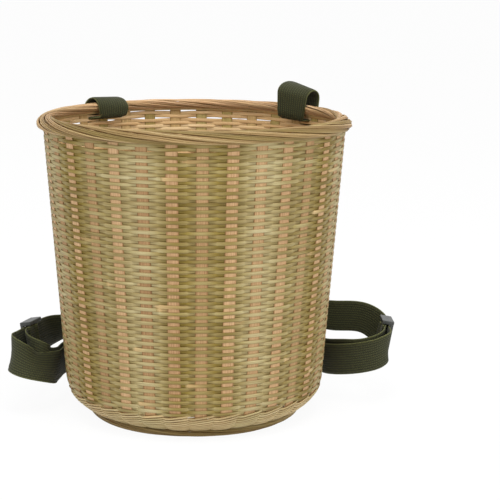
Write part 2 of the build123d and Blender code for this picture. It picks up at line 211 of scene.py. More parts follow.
def start_group(name, inputs, outputs):
    """An empty shader group with named inputs and outputs."""
    tree = bpy.data.node_groups.new(name, "ShaderNodeTree")
    for label, default in inputs.items():
        kind = "NodeSocketColor" if isinstance(default, tuple) else "NodeSocketFloat"
        tree.interface.new_socket(label, in_out="INPUT", socket_type=kind).default_value = default
    for label, kind in outputs.items():
        tree.interface.new_socket(label, in_out="OUTPUT", socket_type=kind)
    source = tree.nodes.new("NodeGroupInput")
    target = tree.nodes.new("NodeGroupOutput")
    return tree, {label: Wire(tree, source.outputs[label]) for label in inputs}, target


def use_group(tree, group, inputs):
    """Place a shader group and hand back its outputs as wires."""
    node = tree.nodes.new("ShaderNodeGroup")
    node.node_tree = group
    for label, value in inputs.items():
        plug(tree, node.inputs[label], value)
    return {socket.name: Wire(tree, socket) for socket in node.outputs}


def mix_colour(tree, share, first, second, mode="MIX"):
    """Mix two colours by a share from 0 to 1."""
    node = tree.nodes.new("ShaderNodeMix")
    node.data_type = "RGBA"
    node.blend_type = mode
    plug(tree, node.inputs[0], share)
    plug(tree, node.inputs[6], first)
    plug(tree, node.inputs[7], second)
    return Wire(tree, node.outputs[2])


print("shader group helpers ready")

# %% Bamboo fibre group
streaks_per_metre = 45.0
grooves_per_metre = 12.0
grooves_per_line = 2.3
streak_step = 7.31
groove_step = 3.17
fibre_group, fibre_in, fibre_out = start_group(
    "bamboo fibre",
    {"Along": 0.0, "Across": 0.0, "Splint": 0.0, "Lines": 9.0},
    {"Streak": "NodeSocketFloat", "Groove": "NodeSocketFloat"},
)
streak_across = fibre_in["Across"] * fibre_in["Lines"]
streak_place = join_xyz(
    fibre_group, fibre_in["Along"] * streaks_per_metre, streak_across, fibre_in["Splint"] * streak_step
)
groove_across = fibre_in["Across"] * (fibre_in["Lines"] * grooves_per_line)
groove_place = join_xyz(
    fibre_group, fibre_in["Along"] * grooves_per_metre, groove_across, fibre_in["Splint"] * groove_step
)
plug(fibre_group, fibre_out.inputs["Streak"], noise(fibre_group, streak_place, 1.0, 4.0))
plug(fibre_group, fibre_out.inputs["Groove"], noise(fibre_group, groove_place, 1.0, 3.0))
print("group", fibre_group.name)

# %% Splint tint group
drifts_per_metre = 9.0
drift_step = 5.7
chance_share = 0.4
drift_share = 0.8
tint_floor = 0.1
tint_group, tint_in, tint_out = start_group(
    "splint tint",
    {"Along": 0.0, "Splint": 0.0, "Dark": paint(90, 80, 40), "Middle": paint(150, 130, 70),
     "Pale": paint(200, 190, 150)},
    {"Colour": "NodeSocketColor"},
)
tint_chance = add_node(tint_group, "ShaderNodeTexWhiteNoise", {"W": tint_in["Splint"]},
                       {"noise_dimensions": "1D"})
tint_place = join_xyz(tint_group, tint_in["Along"] * drifts_per_metre, tint_in["Splint"] * drift_step, 0.0)
tint_drift = noise(tint_group, tint_place, 1.0, 2.0)
tint_share = tint_chance * chance_share + tint_drift * drift_share - tint_floor
tint_low = mix_colour(tint_group, (tint_share * 2.0).share(), tint_in["Dark"], tint_in["Middle"])
tint_high = mix_colour(tint_group, (tint_share * 2.0 - 1.0).share(), tint_low, tint_in["Pale"])
plug(tint_group, tint_out.inputs["Colour"], tint_high)
print("group", tint_group.name)

# %% Webbing weave group
pick_rise = 0.65
cord_rise = 0.35
fuzz_per_metre = 900.0
weave_group, weave_in, weave_out = start_group(
    "webbing weave",
    {"Across": 0.0, "Along": 0.0, "Cord": 1.5 * MM, "Pick": 1.3 * MM},
    {"Height": "NodeSocketFloat", "Fuzz": "NodeSocketFloat"},
)
cord_place = weave_in["Across"] / weave_in["Cord"]
pick_place = weave_in["Along"] / weave_in["Pick"]
pick_shift = (cord_place.floor() % 2.0) * 0.5
cord_round = (cord_place * pi).sine().size()
pick_round = ((pick_place + pick_shift) * pi).sine().size()
plug(weave_group, weave_out.inputs["Height"], cord_round * (pick_round * pick_rise + cord_rise))
fuzz_place = join_xyz(weave_group, weave_in["Across"], weave_in["Along"], 0.0)
plug(weave_group, weave_out.inputs["Fuzz"], noise(weave_group, fuzz_place, fuzz_per_metre, 3.0))
print("group", weave_group.name)

# %% [markdown]
# The materials
#
# Green bamboo skin dries to olive and straw, and the soft inside of the cane is a warm tan. A weft shows
# its skin on the outside of the basket and its tan core on the inside. The finishes of stakes and splints
# differ only in their colours, their gloss and the number of fibre lines across a splint.


# %% Material helpers
def start_material(name):
    """A material with a plain shader, ready for its nodes."""
    material = bpy.data.materials.new(name)
    material.use_nodes = True
    tree = material.node_tree
    tree.nodes.clear()
    shader = tree.nodes.new("ShaderNodeBsdfPrincipled")
    output = tree.nodes.new("ShaderNodeOutputMaterial")
    tree.links.new(shader.outputs["BSDF"], output.inputs["Surface"])
    return material, tree, shader


def carried(tree, name):
    """A value that the piece's own mesh carries."""
    return add_node(tree, "ShaderNodeAttribute", settings={"attribute_name": name}, out=2)


def add_bump(tree, shader, height, strength, distance):
    """Raise the surface by a height that changes over it."""
    bump = tree.nodes.new("ShaderNodeBump")
    bump.inputs["Strength"].default_value = strength
    bump.inputs["Distance"].default_value = distance
    plug(tree, bump.inputs["Height"], height)
    tree.links.new(bump.outputs["Normal"], shader.inputs["Normal"])


print("material helpers ready")

# %% Bamboo material
streak_contrast = 2.4
streak_floor = 0.75
streak_strength = 0.7
unshaded = paint(255, 255, 255)
streak_shade = paint(178, 160, 134)
edge_shade = paint(205, 190, 160)
plain_roughness = 0.62
streak_roughness = 0.3
bamboo_reflection = 0.3
fibre_bump = 0.35
fibre_relief = 0.12 * MM


def bamboo(name, plain, marked, plain_core, marked_core, lines, gloss):
    """Split bamboo: colours of the outer and the inner face, each mixed from two sets by the piece's tone."""
    material, tree, shader = start_material(name)
    along = carried(tree, "along")
    across = carried(tree, "across")
    splint = carried(tree, "splint")
    fibre = use_group(tree, fibre_group, {"Along": along, "Across": across, "Splint": splint, "Lines": lines})
    tints = []
    for dark, middle, pale in (plain, marked, plain_core, marked_core):
        colours = {"Along": along, "Splint": splint, "Dark": dark, "Middle": middle, "Pale": pale}
        tints.append(use_group(tree, tint_group, colours)["Colour"])
    tone = carried(tree, "tone")
    skin = mix_colour(tree, tone, tints[0], tints[1])
    inner = mix_colour(tree, tone, tints[2], tints[3])
    body = mix_colour(tree, carried(tree, "skin") - carried(tree, "bare"), inner, skin)
    streak_share = (fibre["Streak"] * streak_contrast - streak_floor).share()
    streaked = mix_colour(tree, streak_share, streak_shade, unshaded)
    lined = mix_colour(tree, streak_strength, body, streaked, "MULTIPLY")
    # Painted shade: every splint is darkened along both edges, where it meets its neighbours.
    edge = across * across
    shaded_edges = mix_colour(tree, (edge * edge * edge).share(), unshaded, edge_shade)
    plug(tree, shader.inputs["Base Color"], mix_colour(tree, 1.0, lined, shaded_edges, "MULTIPLY"))
    plug(tree, shader.inputs["Roughness"], fibre["Streak"] * streak_roughness + (plain_roughness - gloss))
    shader.inputs["Specular IOR Level"].default_value = bamboo_reflection
    add_bump(tree, shader, fibre["Groove"] + fibre["Streak"] * 0.5, fibre_bump, fibre_relief)
    return material


print("bamboo finish ready")

# %% Bamboo colours
straw_and_sheen = (paint(156, 141, 93), paint(181, 168, 122), paint(204, 196, 157))
olive = (paint(109, 93, 28), paint(134, 115, 42), paint(158, 141, 67))
tan_core = (paint(208, 168, 116), paint(236, 202, 150), paint(246, 226, 184))
olive_core = (paint(140, 124, 62), paint(176, 160, 92), paint(198, 182, 120))
pink_tan = (paint(176, 138, 98), paint(204, 168, 126), paint(224, 194, 154))
# Painted shade: a browner copy of the stake colour, for the deeper stakes that lie in the shade of the wefts
# beside them.
shaded_stake_tan = (paint(132, 98, 58), paint(162, 128, 82), paint(190, 156, 108))
twining_tan = (paint(166, 142, 98), paint(202, 180, 134), paint(220, 204, 164))
twining_straw = (paint(160, 146, 98), paint(192, 178, 132), paint(212, 203, 166))
foot_tan = (paint(140, 116, 72), paint(182, 154, 106), paint(208, 186, 142))
rim_tan = (paint(140, 102, 66), paint(212, 176, 134), paint(242, 218, 184))
rim_olive = (paint(78, 64, 28), paint(146, 126, 74), paint(210, 194, 142))
weft_bamboo = bamboo("weft_bamboo", olive, straw_and_sheen, tan_core, tan_core, 3.0, 0.2)
stake_bamboo = bamboo("stake_bamboo", pink_tan, shaded_stake_tan, olive_core, tan_core, 9.0, 0.14)
twining_bamboo = bamboo("twining_bamboo", twining_tan, twining_straw, tan_core, tan_core, 2.5, 0.14)
rim_bamboo = bamboo("rim_bamboo", rim_tan, rim_olive, tan_core, tan_core, 3.0, 0.2)
foot_bamboo = bamboo("foot_bamboo", foot_tan, rim_olive, tan_core, tan_core, 3.0, 0.16)
print("bamboo materials", 5)


# %% Webbing, thread, slider and hoop materials
yarn_light_share = 0.9
dust_share = 0.5
light_and_dust_floor = 0.25
webbing_roughness = 0.62
fuzz_roughness = 0.25
fuzz_height = 0.25
weave_bump = 0.8
selvedge_start = 11.4 * MM
selvedge_width = 1.1 * MM
selvedge_and_sheen_strength = 0.7
selvedge_and_sheen_colour = paint(92, 94, 52)
weave_relief = 0.3 * MM
speckle_relief = 0.1 * MM


def webbing_finish(name, deep, high, cord, pick):
    """Woven tape: rounded cords crossed by picks, painted shade in the weave's hollows, dust on top, and a
    paler edge that is partly selvedge, partly painted highlight.
    """
    material, tree, shader = start_material(name)
    place = add_node(tree, "ShaderNodeUVMap", settings={"uv_map": "tape"})
    split = tree.nodes.new("ShaderNodeSeparateXYZ")
    plug(tree, split.inputs[0], place)
    across = Wire(tree, split.outputs[0])
    along = Wire(tree, split.outputs[1])
    weave = use_group(tree, weave_group, {"Across": across, "Along": along, "Cord": cord, "Pick": pick})
    # Painted shade: the weave's hollows take the deep colour and the tops of the yarn the high one; the fuzz
    # noise adds dust.
    yarn_light_and_dust = (weave["Height"] * yarn_light_share + weave["Fuzz"] * dust_share - light_and_dust_floor).share()
    woven = mix_colour(tree, yarn_light_and_dust, deep, high)
    # The paler band along both edges is partly the selvedge's own colour and partly painted highlight.
    edge_share = ((across.size() - selvedge_start) / selvedge_width).share() * selvedge_and_sheen_strength
    plug(tree, shader.inputs["Base Color"], mix_colour(tree, edge_share, woven, selvedge_and_sheen_colour))
    plug(tree, shader.inputs["Roughness"], weave["Fuzz"] * fuzz_roughness + webbing_roughness)
    shader.inputs["Specular IOR Level"].default_value = 0.2
    shader.inputs["Sheen Weight"].default_value = 0.06
    shader.inputs["Sheen Roughness"].default_value = 0.6
    add_bump(tree, shader, weave["Height"] + weave["Fuzz"] * fuzz_height, weave_bump, weave_relief)
    return material


def mottled(name, deep, high, scale, rough_low, rough_high, bump):
    """A surface whose colour and gloss drift with a fine noise in the object's own space."""
    material, tree, shader = start_material(name)
    place = add_node(tree, "ShaderNodeTexCoord", out=3)
    speckle = noise(tree, place, scale, 4.0)
    plug(tree, shader.inputs["Base Color"], mix_colour(tree, speckle, deep, high))
    plug(tree, shader.inputs["Roughness"], speckle * (rough_high - rough_low) + rough_low)
    add_bump(tree, shader, speckle, bump, speckle_relief)
    return material


olive_webbing = webbing_finish("olive_webbing", paint(24, 25, 11), paint(66, 68, 36), 1.9 * MM, 1.5 * MM)
sewing_thread = mottled("sewing_thread", paint(40, 40, 26), paint(86, 88, 62), 2600.0, 0.6, 0.8, 0.4)
slider_plastic = mottled("slider_plastic", paint(34, 36, 34), paint(66, 68, 64), 900.0, 0.28, 0.5, 0.15)
hoop_bamboo = mottled("hoop_bamboo", paint(136, 112, 62), paint(190, 158, 104), 260.0, 0.5, 0.7, 0.3)
print("other materials", 4)

# %% [markdown]
# The rule of the wall
#
# Stakes, wefts and twining all follow one outline: a flat bottom, a round shoulder, then a straight wall
# that leans outwards. One distance measured along that outline, from the edge of the flat bottom, fixes a
# place on it. The same few lines of arithmetic then serve the script and the node trees.

# %% Outline of the wall
rim_low, rim_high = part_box("rim_roll")
band_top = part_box("weft_band_13")[1].z
foot_low, foot_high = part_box("foot_hoop")
flat_radius = 73.5 * MM
shoulder_radius = 27.0 * MM
strip_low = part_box("side_strip_1")[0].z
stake_recess = 0.2 * MM
base_underside = strip_low - stake_recess
corner_height = base_underside + shoulder_radius
rim_overhang = 4.9 * MM
wall_top_radius = rim_high.x - rim_overhang
top_reach = wall_top_radius - flat_radius
top_rise = band_top - corner_height
straight_run = sqrt(top_reach**2 + top_rise**2 - shoulder_radius**2)
taper = atan2(top_reach, top_rise) - atan2(shoulder_radius, straight_run)
full_slope = pi / 2 - taper
shoulder_run = shoulder_radius * full_slope


def wall_point(run, depth):
    """Radius, height and slope of the wall at a run along it and a depth below its outer face."""
    slope = min(run / shoulder_radius, full_slope)
    straight = max(run - shoulder_run, 0.0)
    bend = shoulder_radius - depth
    radius = flat_radius + bend * sin(slope) + straight * cos(slope)
    height = corner_height - bend * cos(slope) + straight * sin(slope)
    return radius, height, slope


wall_run = shoulder_run + straight_run
print("taper", round(taper, 4), "wall run", round(wall_run / MM, 1), "mm")

# %% [markdown]
# Growing a piece from a node tree
#
# A Geometry Nodes tree makes what repeats or follows a path. Its sizes are named inputs on a modifier,
# set before the object is first evaluated. The result is then copied into a plain mesh and the modifier
# goes away, because a finished piece has to stand without its tree.


# %% Geometry tree helpers
def start_tree(name, sizes):
    """An empty geometry tree with a path coming in, named sizes, and a finished piece going out."""
    tree = bpy.data.node_groups.new(name, "GeometryNodeTree")
    kinds = {float: "NodeSocketFloat", int: "NodeSocketInt", type(None): "NodeSocketMaterial"}
    tree.interface.new_socket("Path", in_out="INPUT", socket_type="NodeSocketGeometry")
    for label, default in sizes.items():
        socket = tree.interface.new_socket(label, in_out="INPUT", socket_type=kinds[type(default)])
        if default is not None:
            socket.default_value = default
    tree.interface.new_socket("Piece", in_out="OUTPUT", socket_type="NodeSocketGeometry")
    source = tree.nodes.new("NodeGroupInput")
    wires = {socket.name: Wire(tree, socket) for socket in source.outputs if socket.name}
    return tree, wires


def end_tree(tree, shape, material):
    """Smooth the shape, make any copies real, give it its material and send it out."""
    smooth = add_node(tree, "GeometryNodeSetShadeSmooth", {"Geometry": shape})
    real = add_node(tree, "GeometryNodeRealizeInstances", {"Geometry": smooth})
    dressed = add_node(tree, "GeometryNodeSetMaterial", {"Geometry": real, "Material": material})
    target = tree.nodes.new("NodeGroupOutput")
    plug(tree, target.inputs[0], dressed)
    print("tree", tree.name, "with", len(tree.nodes), "nodes")


def carry(tree, geometry, name, value):
    """Write a value on the points of a shape, so that the material can read it."""
    inputs = {"Geometry": geometry, "Name": name, "Value": value}
    return add_node(tree, "GeometryNodeStoreNamedAttribute", inputs)


def carry_all(tree, geometry, traits):
    """Write several values on the points of a shape."""
    for name, value in traits.items():
        geometry = carry(tree, geometry, name, value)
    return geometry


def evenly_spaced(tree, count):
    """A straight line of evenly spaced points, for a tree to bend."""
    line = add_node(tree, "GeometryNodeCurvePrimitiveLine")
    return add_node(tree, "GeometryNodeResampleCurve", {"Curve": line, "Count": count}, {"mode": "COUNT"})


def outward_directions(tree):
    """The way out that each point of a path carries."""
    settings = {"data_type": "FLOAT_VECTOR"}
    return add_node(tree, "GeometryNodeInputNamedAttribute", {"Name": "facing"}, settings)


def flat_section(tree, width, thickness):
    """Section of a splint: flat, with rounded edges, carrying its place across and its skin side."""
    edge_radius = thickness * 0.42
    card = add_node(tree, "GeometryNodeCurvePrimitiveQuadrilateral", {"Width": thickness, "Height": width})
    rounded = add_node(
        tree, "GeometryNodeFilletCurve",
        {"Curve": card, "Count": 1, "Radius": edge_radius, "Limit Radius": True}, {"mode": "POLY"},
    )
    split = tree.nodes.new("ShaderNodeSeparateXYZ")
    plug(tree, split.inputs[0], add_node(tree, "GeometryNodeInputPosition"))
    across = Wire(tree, split.outputs[1]) / (width * 0.5)
    skin = Wire(tree, split.outputs[0]).math("GREATER_THAN", 0.0)
    with_across = carry(tree, rounded, "across", across)
    return carry(tree, with_across, "skin", skin)


print("tree helpers ready")


# %% Growing and dressing helpers
def turn_outwards(mesh):
    """Make a closed mesh's faces point outwards."""
    shell = bmesh.new()
    shell.from_mesh(mesh)
    if shell.calc_volume(signed=True) < 0:
        bmesh.ops.reverse_faces(shell, faces=shell.faces)
    shell.to_mesh(mesh)
    shell.free()


def grow(name, tree, sizes, changes, path=None):
    """Run a tree on a new object, with some of its sizes changed, and keep the result as a plain mesh."""
    piece = bpy.data.objects.new(name, path or bpy.data.meshes.new(name))
    scene.collection.objects.link(piece)
    modifier = piece.modifiers.new("grow", "NODES")
    modifier.node_group = tree
    values = {**sizes, **changes}
    for item in tree.interface.items_tree:
        if item.in_out == "INPUT" and item.name in values:
            modifier[item.identifier] = values[item.name]
    depsgraph = bpy.context.evaluated_depsgraph_get()
    grown = bpy.data.meshes.new_from_object(
        piece.evaluated_get(depsgraph), preserve_all_data_layers=True, depsgraph=depsgraph
    )
    piece.modifiers.clear()
    piece.data = grown
    turn_outwards(grown)
    return piece


def dress(piece, body, slot, *nodes):
    """Fix a finished piece to its body and hide the parts of the model that it stands for; slot is not used.
    """
    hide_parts(*nodes)
    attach(piece, body)
    return piece


def refinish(node, material):
    """Give a part of the engineering model a better material and leave its shape alone."""
    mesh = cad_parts[node].data
    mesh.materials.clear()
    mesh.materials.append(material)


print("growing helpers ready")

# %% [markdown]
# The wefts
#
# One thin splint after another runs round the basket, in front of one stake and behind the next. The
# number of stakes is odd, so each round swaps sides with the one below it. Modelling each crossing by
# hand would be endless, but the rule is short: a cosine along the path says in front or behind. A splint
# is coloured olive over the stakes that stand proud and pale where it dips beside the deep ones, which
# gives the wall its upright stripes. The pale is partly the cane's own colour and partly painted
# highlight for the sheen of its skin.

# %% Sizes of the weave
stake_count = 33
first_stake_angle = 2.75
stake_turn = radians(90 - first_stake_angle)
stake_width = 9.0 * MM
strip_thickness = 1.0 * MM
stake_thickness = 0.55 * MM
proud_step = 0.12 * MM
weft_thickness = 0.36 * MM
weft_overlap = 1.16
weave_depth = 0.48 * MM
band_count = 13
rounds_per_band = 6
first_open_row = 72.0
open_rows = 0.36
twining_top_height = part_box("weft_band_01")[0].z
twining_rise = 3.8 * MM
twining_slope = pi / 2 - asin((corner_height - twining_top_height) / shoulder_radius)
weft_start = twining_rise + shoulder_radius * twining_slope
row_pitch = (wall_run - weft_start) / (band_count * rounds_per_band)
stake_middle_depth = stake_recess + strip_thickness / 2
print("row pitch", round(row_pitch / MM, 3), "mm")
print("first row", round(weft_start / MM, 1), "mm along the wall")


# %% Rules of the weave
slit_waves = 4.0
slit_contrast = 5.0
slit_floor = 1.9
lifted_row = 3.5
lift_rate = 4.0
press_rate = 0.3
row_parting = 0.9
even_round_tone = 0.9
even_round_fall = 0.7
odd_round_tone = 0.15
odd_round_rise = 0.75
zone_count = 7.0
zone_turn = radians(88.0)
zone_strength = 0.34
crossing_strength = 0.6
wander_strength = 0.6
tone_floor = 0.18
patch_rate = 0.45
patch_fade = 0.4
patch_contrast = 6.0
patch_floor = 2.8
patch_narrowing = 0.2
proud_narrowing = 0.14
deep_narrowing = 0.05
crossing_power = 4.0
wander_width = 0.1
first_row_fade = 0.2
first_row_widening = 0.1


def steeper(wave):
    """A wave between -1 and 1 with flatter tops and a steeper crossing."""
    return wave * (1.5 - wave * wave * 0.5)


def on_wall(tree, run, depth, turn):
    """Place on the wall and slope there, for a run along it, a depth below its outer face and a turn."""
    slope = (run / shoulder_radius).at_most(full_slope)
    straight = (run - shoulder_run).at_least(0.0)
    bend = shoulder_radius - depth
    radius = bend * slope.sine() + straight * slope.cosine() + flat_radius
    height = straight * slope.sine() - bend * slope.cosine() + corner_height
    return join_xyz(tree, radius * turn.cosine(), radius * turn.sine(), height), slope


def parted_rows(tree, size, turn, above):
    """How far the rows under the rim stand apart, which leaves narrow slits here and there."""
    round_place = join_xyz(tree, turn.cosine() * slit_waves, turn.sine() * slit_waves, 2.0)
    slit = (noise(tree, round_place, 1.0) * slit_contrast - slit_floor).share()
    lifted = ((above - lifted_row) * lift_rate).share()
    pressed = (above * press_rate).share() * (1.0 - lifted)
    return (lifted - pressed) * slit * size["Open rows"] * size["Row pitch"] * row_parting


def weft_tone(turn, rounds, over_proud, over_deep, wander):
    """Paleness of a weft, partly its own colour and partly painted highlight: it swaps each round and drifts
    in upright zones.
    """
    odd_round = rounds.floor() % 2.0
    # Partly painted highlight: pale beside the deep stakes and in upright zones, standing in part for the
    # sheen of the skin.
    in_even_round = even_round_tone - over_proud * even_round_fall
    in_odd_round = over_deep * odd_round_rise + odd_round_tone
    dipping = in_even_round * (1.0 - odd_round) + in_odd_round * odd_round
    zone = ((turn + zone_turn) * zone_count).cosine()
    striped = dipping * crossing_strength - zone * zone_strength
    return (striped + wander * wander_strength + tone_floor).share()


def weft_width(tree, size, stake, rounds, above, over_proud, over_deep, wander):
    """Share of its width that a weft shows: less over the stakes and, in patches, under the rim."""
    patch_place = join_xyz(tree, stake * patch_rate, size["Seed"], 7.0)
    patch = (noise(tree, patch_place, 1.0) * patch_contrast - patch_floor).share()
    opened = (above * patch_fade).share() * patch * size["Open rows"] * patch_narrowing
    narrowed_deep = over_deep.math("POWER", crossing_power) * -deep_narrowing
    narrowed = narrowed_deep - over_proud.math("POWER", crossing_power) * proud_narrowing
    first_rows = (1.0 - rounds * first_row_fade).share() * first_row_widening
    return narrowed + 1.0 + wander * wander_width + first_rows - opened


print("upright zones", zone_count)

# %% Weave tree
wander_rate = 0.35
stake_distance = 0.02
splints_per_round = 0.83
splint_wander = 2.0
seed_step = 17.0
phase_step = 5.0
splint_end_sharpness = 45.0
splint_end_bareness = 0.6


def woven_splint(tree, size, phase):
    """One splint that spirals up the wall and weaves in front of and behind the stakes."""
    path = evenly_spaced(tree, size["Rounds"] * size["Stakes"] * size["Points per stake"] + 1.0)
    index = add_node(tree, "GeometryNodeInputIndex")
    stake = index / size["Points per stake"] + size["First round"] * size["Stakes"]
    rounds = stake / size["Stakes"]
    turn = stake * (2 * pi / stake_count) + stake_turn
    front = steeper(steeper(((stake + phase) * pi).cosine()))
    local = stake % size["Stakes"]
    seam = local.at_most(size["Stakes"] - local).share()
    proud = (local * pi).cosine() * seam
    over_proud = proud.at_least(0.0)
    over_deep = (proud * -1.0).at_least(0.0)
    wander = noise(tree, join_xyz(tree, stake * wander_rate, size["Seed"], phase), 1.0) - 0.5
    depth = size["Middle depth"] - proud * size["Proud stakes"] - front * size["Weave depth"]
    twist = ((stake + phase) * pi).sine() * size["Twist"]
    above = rounds - size["Open rows from"]
    parted = parted_rows(tree, size, turn, above)
    run = size["Start"] + rounds * size["Row pitch"] + wander * size["Wander"] + twist + parted
    place, slope = on_wall(tree, run, depth, turn)
    placed = add_node(tree, "GeometryNodeSetPosition", {"Geometry": path, "Position": place})
    upright = add_node(tree, "GeometryNodeSetCurveNormal", {"Curve": placed}, {"mode": "Z_UP"})
    leaned = add_node(tree, "GeometryNodeSetCurveTilt", {"Curve": upright, "Tilt": pi / 2 - slope})
    along = stake * stake_distance
    uneven = noise(tree, join_xyz(tree, along, size["Seed"], 3.0), 1.0)
    laid = rounds * splints_per_round + uneven * splint_wander
    started = laid - laid.floor()
    traited = carry_all(tree, leaned, {
        "along": along,
        "splint": laid.floor() + size["Seed"] * seed_step + phase * phase_step,
        "tone": weft_tone(turn, rounds, over_proud, over_deep, wander),
        "bare": (1.0 - started * splint_end_sharpness).share() * splint_end_bareness,
    })
    section = flat_section(tree, size["Splint width"], size["Splint thickness"])
    width = weft_width(tree, size, stake, rounds, above, over_proud, over_deep, wander)
    return add_node(tree, "GeometryNodeCurveToMesh",
                    {"Curve": traited, "Profile Curve": section, "Scale": width, "Fill Caps": True})


weave_sizes = {
    "Rounds": rounds_per_band, "First round": 0.0, "Stakes": float(stake_count), "Points per stake": 8.0,
    "Start": weft_start + row_pitch / 2, "Row pitch": row_pitch, "Splint width": row_pitch * weft_overlap,
    "Splint thickness": weft_thickness, "Middle depth": stake_middle_depth, "Weave depth": weave_depth,
    "Proud stakes": proud_step, "Twist": 0.0, "Wander": 0.3 * MM, "Seed": 1.0, "Open rows": 0.0,
    "Open rows from": first_open_row, "Material": None,
}
weft_tree, weft_in = start_tree("weft rounds", weave_sizes)
end_tree(weft_tree, woven_splint(weft_tree, weft_in, 0.0), weft_in["Material"])

# %% Weft bands
weft_triangles = 0
for band in range(band_count):
    number = f"{band + 1:02d}"
    rounds = grow(f"weft_rounds_{number}", weft_tree, weave_sizes, {
        "First round": float(band * rounds_per_band), "Open rows": open_rows, "Material": weft_bamboo,
    })
    dress(rounds, "basket", "bamboo_weft", f"weft_band_{number}")
    weft_triangles += 2 * len(rounds.data.polygons)
print("weft triangles", weft_triangles)

# %% [markdown]
# The twining at the corner
#
# Where the bottom turns up into the wall, pairs of finer splints hold the stakes in place. The two
# splints of a pair cross between the stakes, one going in front and the other behind. The same tree
# branch makes each of them, half a wave apart, with a little twist up and down.

# %% Twining tree and rows
twining_rows = 9
twining_low_radius = 80.5 * MM
twining_thickness = 1.0 * MM
twining_depth = 0.95 * MM
twining_fill = 0.76
twining_twist = 0.5
twining_low = asin((twining_low_radius - flat_radius) / shoulder_radius) * shoulder_radius
twining_pitch = (weft_start - twining_low) / twining_rows
twining_tree, twining_in = start_tree("twining rows", weave_sizes)
twining_pair = [woven_splint(twining_tree, twining_in, phase) for phase in (0.0, 1.0)]
twining_join = twining_tree.nodes.new("GeometryNodeJoinGeometry")
for strand in reversed(twining_pair):
    twining_tree.links.new(strand.socket, twining_join.inputs[0])
end_tree(twining_tree, Wire(twining_tree, twining_join.outputs[0]), twining_in["Material"])
twining = grow("twining_rows", twining_tree, weave_sizes, {
    "Rounds": twining_rows, "Start": twining_low + twining_pitch / 2, "Row pitch": twining_pitch,
    "Splint width": twining_pitch * twining_fill, "Splint thickness": twining_thickness,
    "Twist": twining_pitch * twining_twist, "Weave depth": twining_depth, "Seed": 9.0,
    "Material": twining_bamboo,
})
dress(twining, "basket", "bamboo_twining", "corner_twining")
print("twining faces", len(twining.data.polygons))

# %% [markdown]
# The strips
#
# A strip runs up one wall, across the bottom and up the other wall, and its upright ends are the stakes.
# On the bottom the strips pass over and under each other. The script finds where two strips cross, writes
# the path as a row of points that know which way is out, and a tree sweeps a section with fine ribs along
# it.


# %% Strip tree
def ribbed_section(tree, width, thickness, ribs, depth):
    """Section of a strip: a flat back, and a front with shallow ribs of fibre."""
    points = 16
    corner_power = 14.0
    corner_drop = thickness * 0.3
    ring = add_node(tree, "GeometryNodeCurvePrimitiveCircle", {"Resolution": 2 * points, "Radius": 1.0})
    index = add_node(tree, "GeometryNodeInputIndex")
    back = index.math("GREATER_THAN", points - 0.5)
    along_side = (index - back * float(points)) / (points - 1.0)
    across = (along_side * 2.0 - 1.0) * (1.0 - back * 2.0)
    rib = (along_side * (ribs * pi)).sine().size()
    corner = across.size().math("POWER", corner_power)
    front_level = thickness * 0.5 - (1.0 - rib) * depth - corner * corner_drop
    back_level = thickness * -0.5 + corner * corner_drop
    level = front_level + (back_level - front_level) * back
    shaped = add_node(tree, "GeometryNodeSetPosition",
                      {"Geometry": ring, "Position": join_xyz(tree, level, across * (width * 0.5), 0.0)})
    return carry(tree, carry(tree, shaped, "across", across), "skin", 1.0 - back)


def swept_strip(tree, size):
    """A strip swept along its path, with its front turned the way that the path says."""
    curve = add_node(tree, "GeometryNodeMeshToCurve", {"Mesh": size["Path"]})
    turned = add_node(tree, "GeometryNodeSetCurveNormal",
                      {"Curve": curve, "Normal": outward_directions(tree)}, {"mode": "FREE"})
    numbered = carry(tree, turned, "splint", size["Strip"])
    section = ribbed_section(tree, size["Width"], size["Thickness"], size["Ribs"], size["Rib depth"])
    return add_node(tree, "GeometryNodeCurveToMesh",
                    {"Curve": numbered, "Profile Curve": section, "Fill Caps": True})


strip_sizes = {"Width": stake_width, "Thickness": stake_thickness, "Ribs": 6.0, "Rib depth": 0.16 * MM,
               "Strip": 0.0, "Material": None}
strip_tree, strip_in = start_tree("bamboo strip", strip_sizes)
end_tree(strip_tree, swept_strip(strip_tree, strip_in), strip_in["Material"])

# %% Which stakes belong to which strip
strip_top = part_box("side_strip_1")[1].z
side_count = 8
front_count = 8
mat_margin = 6.0 * MM
half_strip_length = 30.0 * MM
strip_clearance = 0.05 * MM
back_left = list(range(1, 1 + front_count // 2))
left_side = list(range(back_left[-1] + 1, back_left[-1] + 1 + side_count))
front_stakes = list(range(left_side[-1] + 1, left_side[-1] + 1 + front_count))
right_side = list(range(front_stakes[-1] + 1, front_stakes[-1] + 1 + side_count))
back_right = list(range(right_side[-1] + 1, stake_count))
side_pairs = list(zip(left_side, reversed(right_side)))
front_pairs = list(zip(back_left[::-1] + back_right[::-1], front_stakes))
turn_radius = flat_radius - mat_margin
layer_step = strip_thickness + strip_clearance
mat_level = base_underside + stake_middle_depth + layer_step / 2


def stake_bearing(number):
    """Bearing of a stake, or of a place between two stakes, round the basket's axis."""
    return stake_turn + number * 2 * pi / stake_count


def stake_direction(number):
    """Level direction of a stake, outwards from the basket's axis."""
    bearing = stake_bearing(number)
    return Vector((cos(bearing), sin(bearing), 0))


print("side strips", side_pairs, "front strips", front_pairs)


# %% Paths up the wall
wall_steps = 14


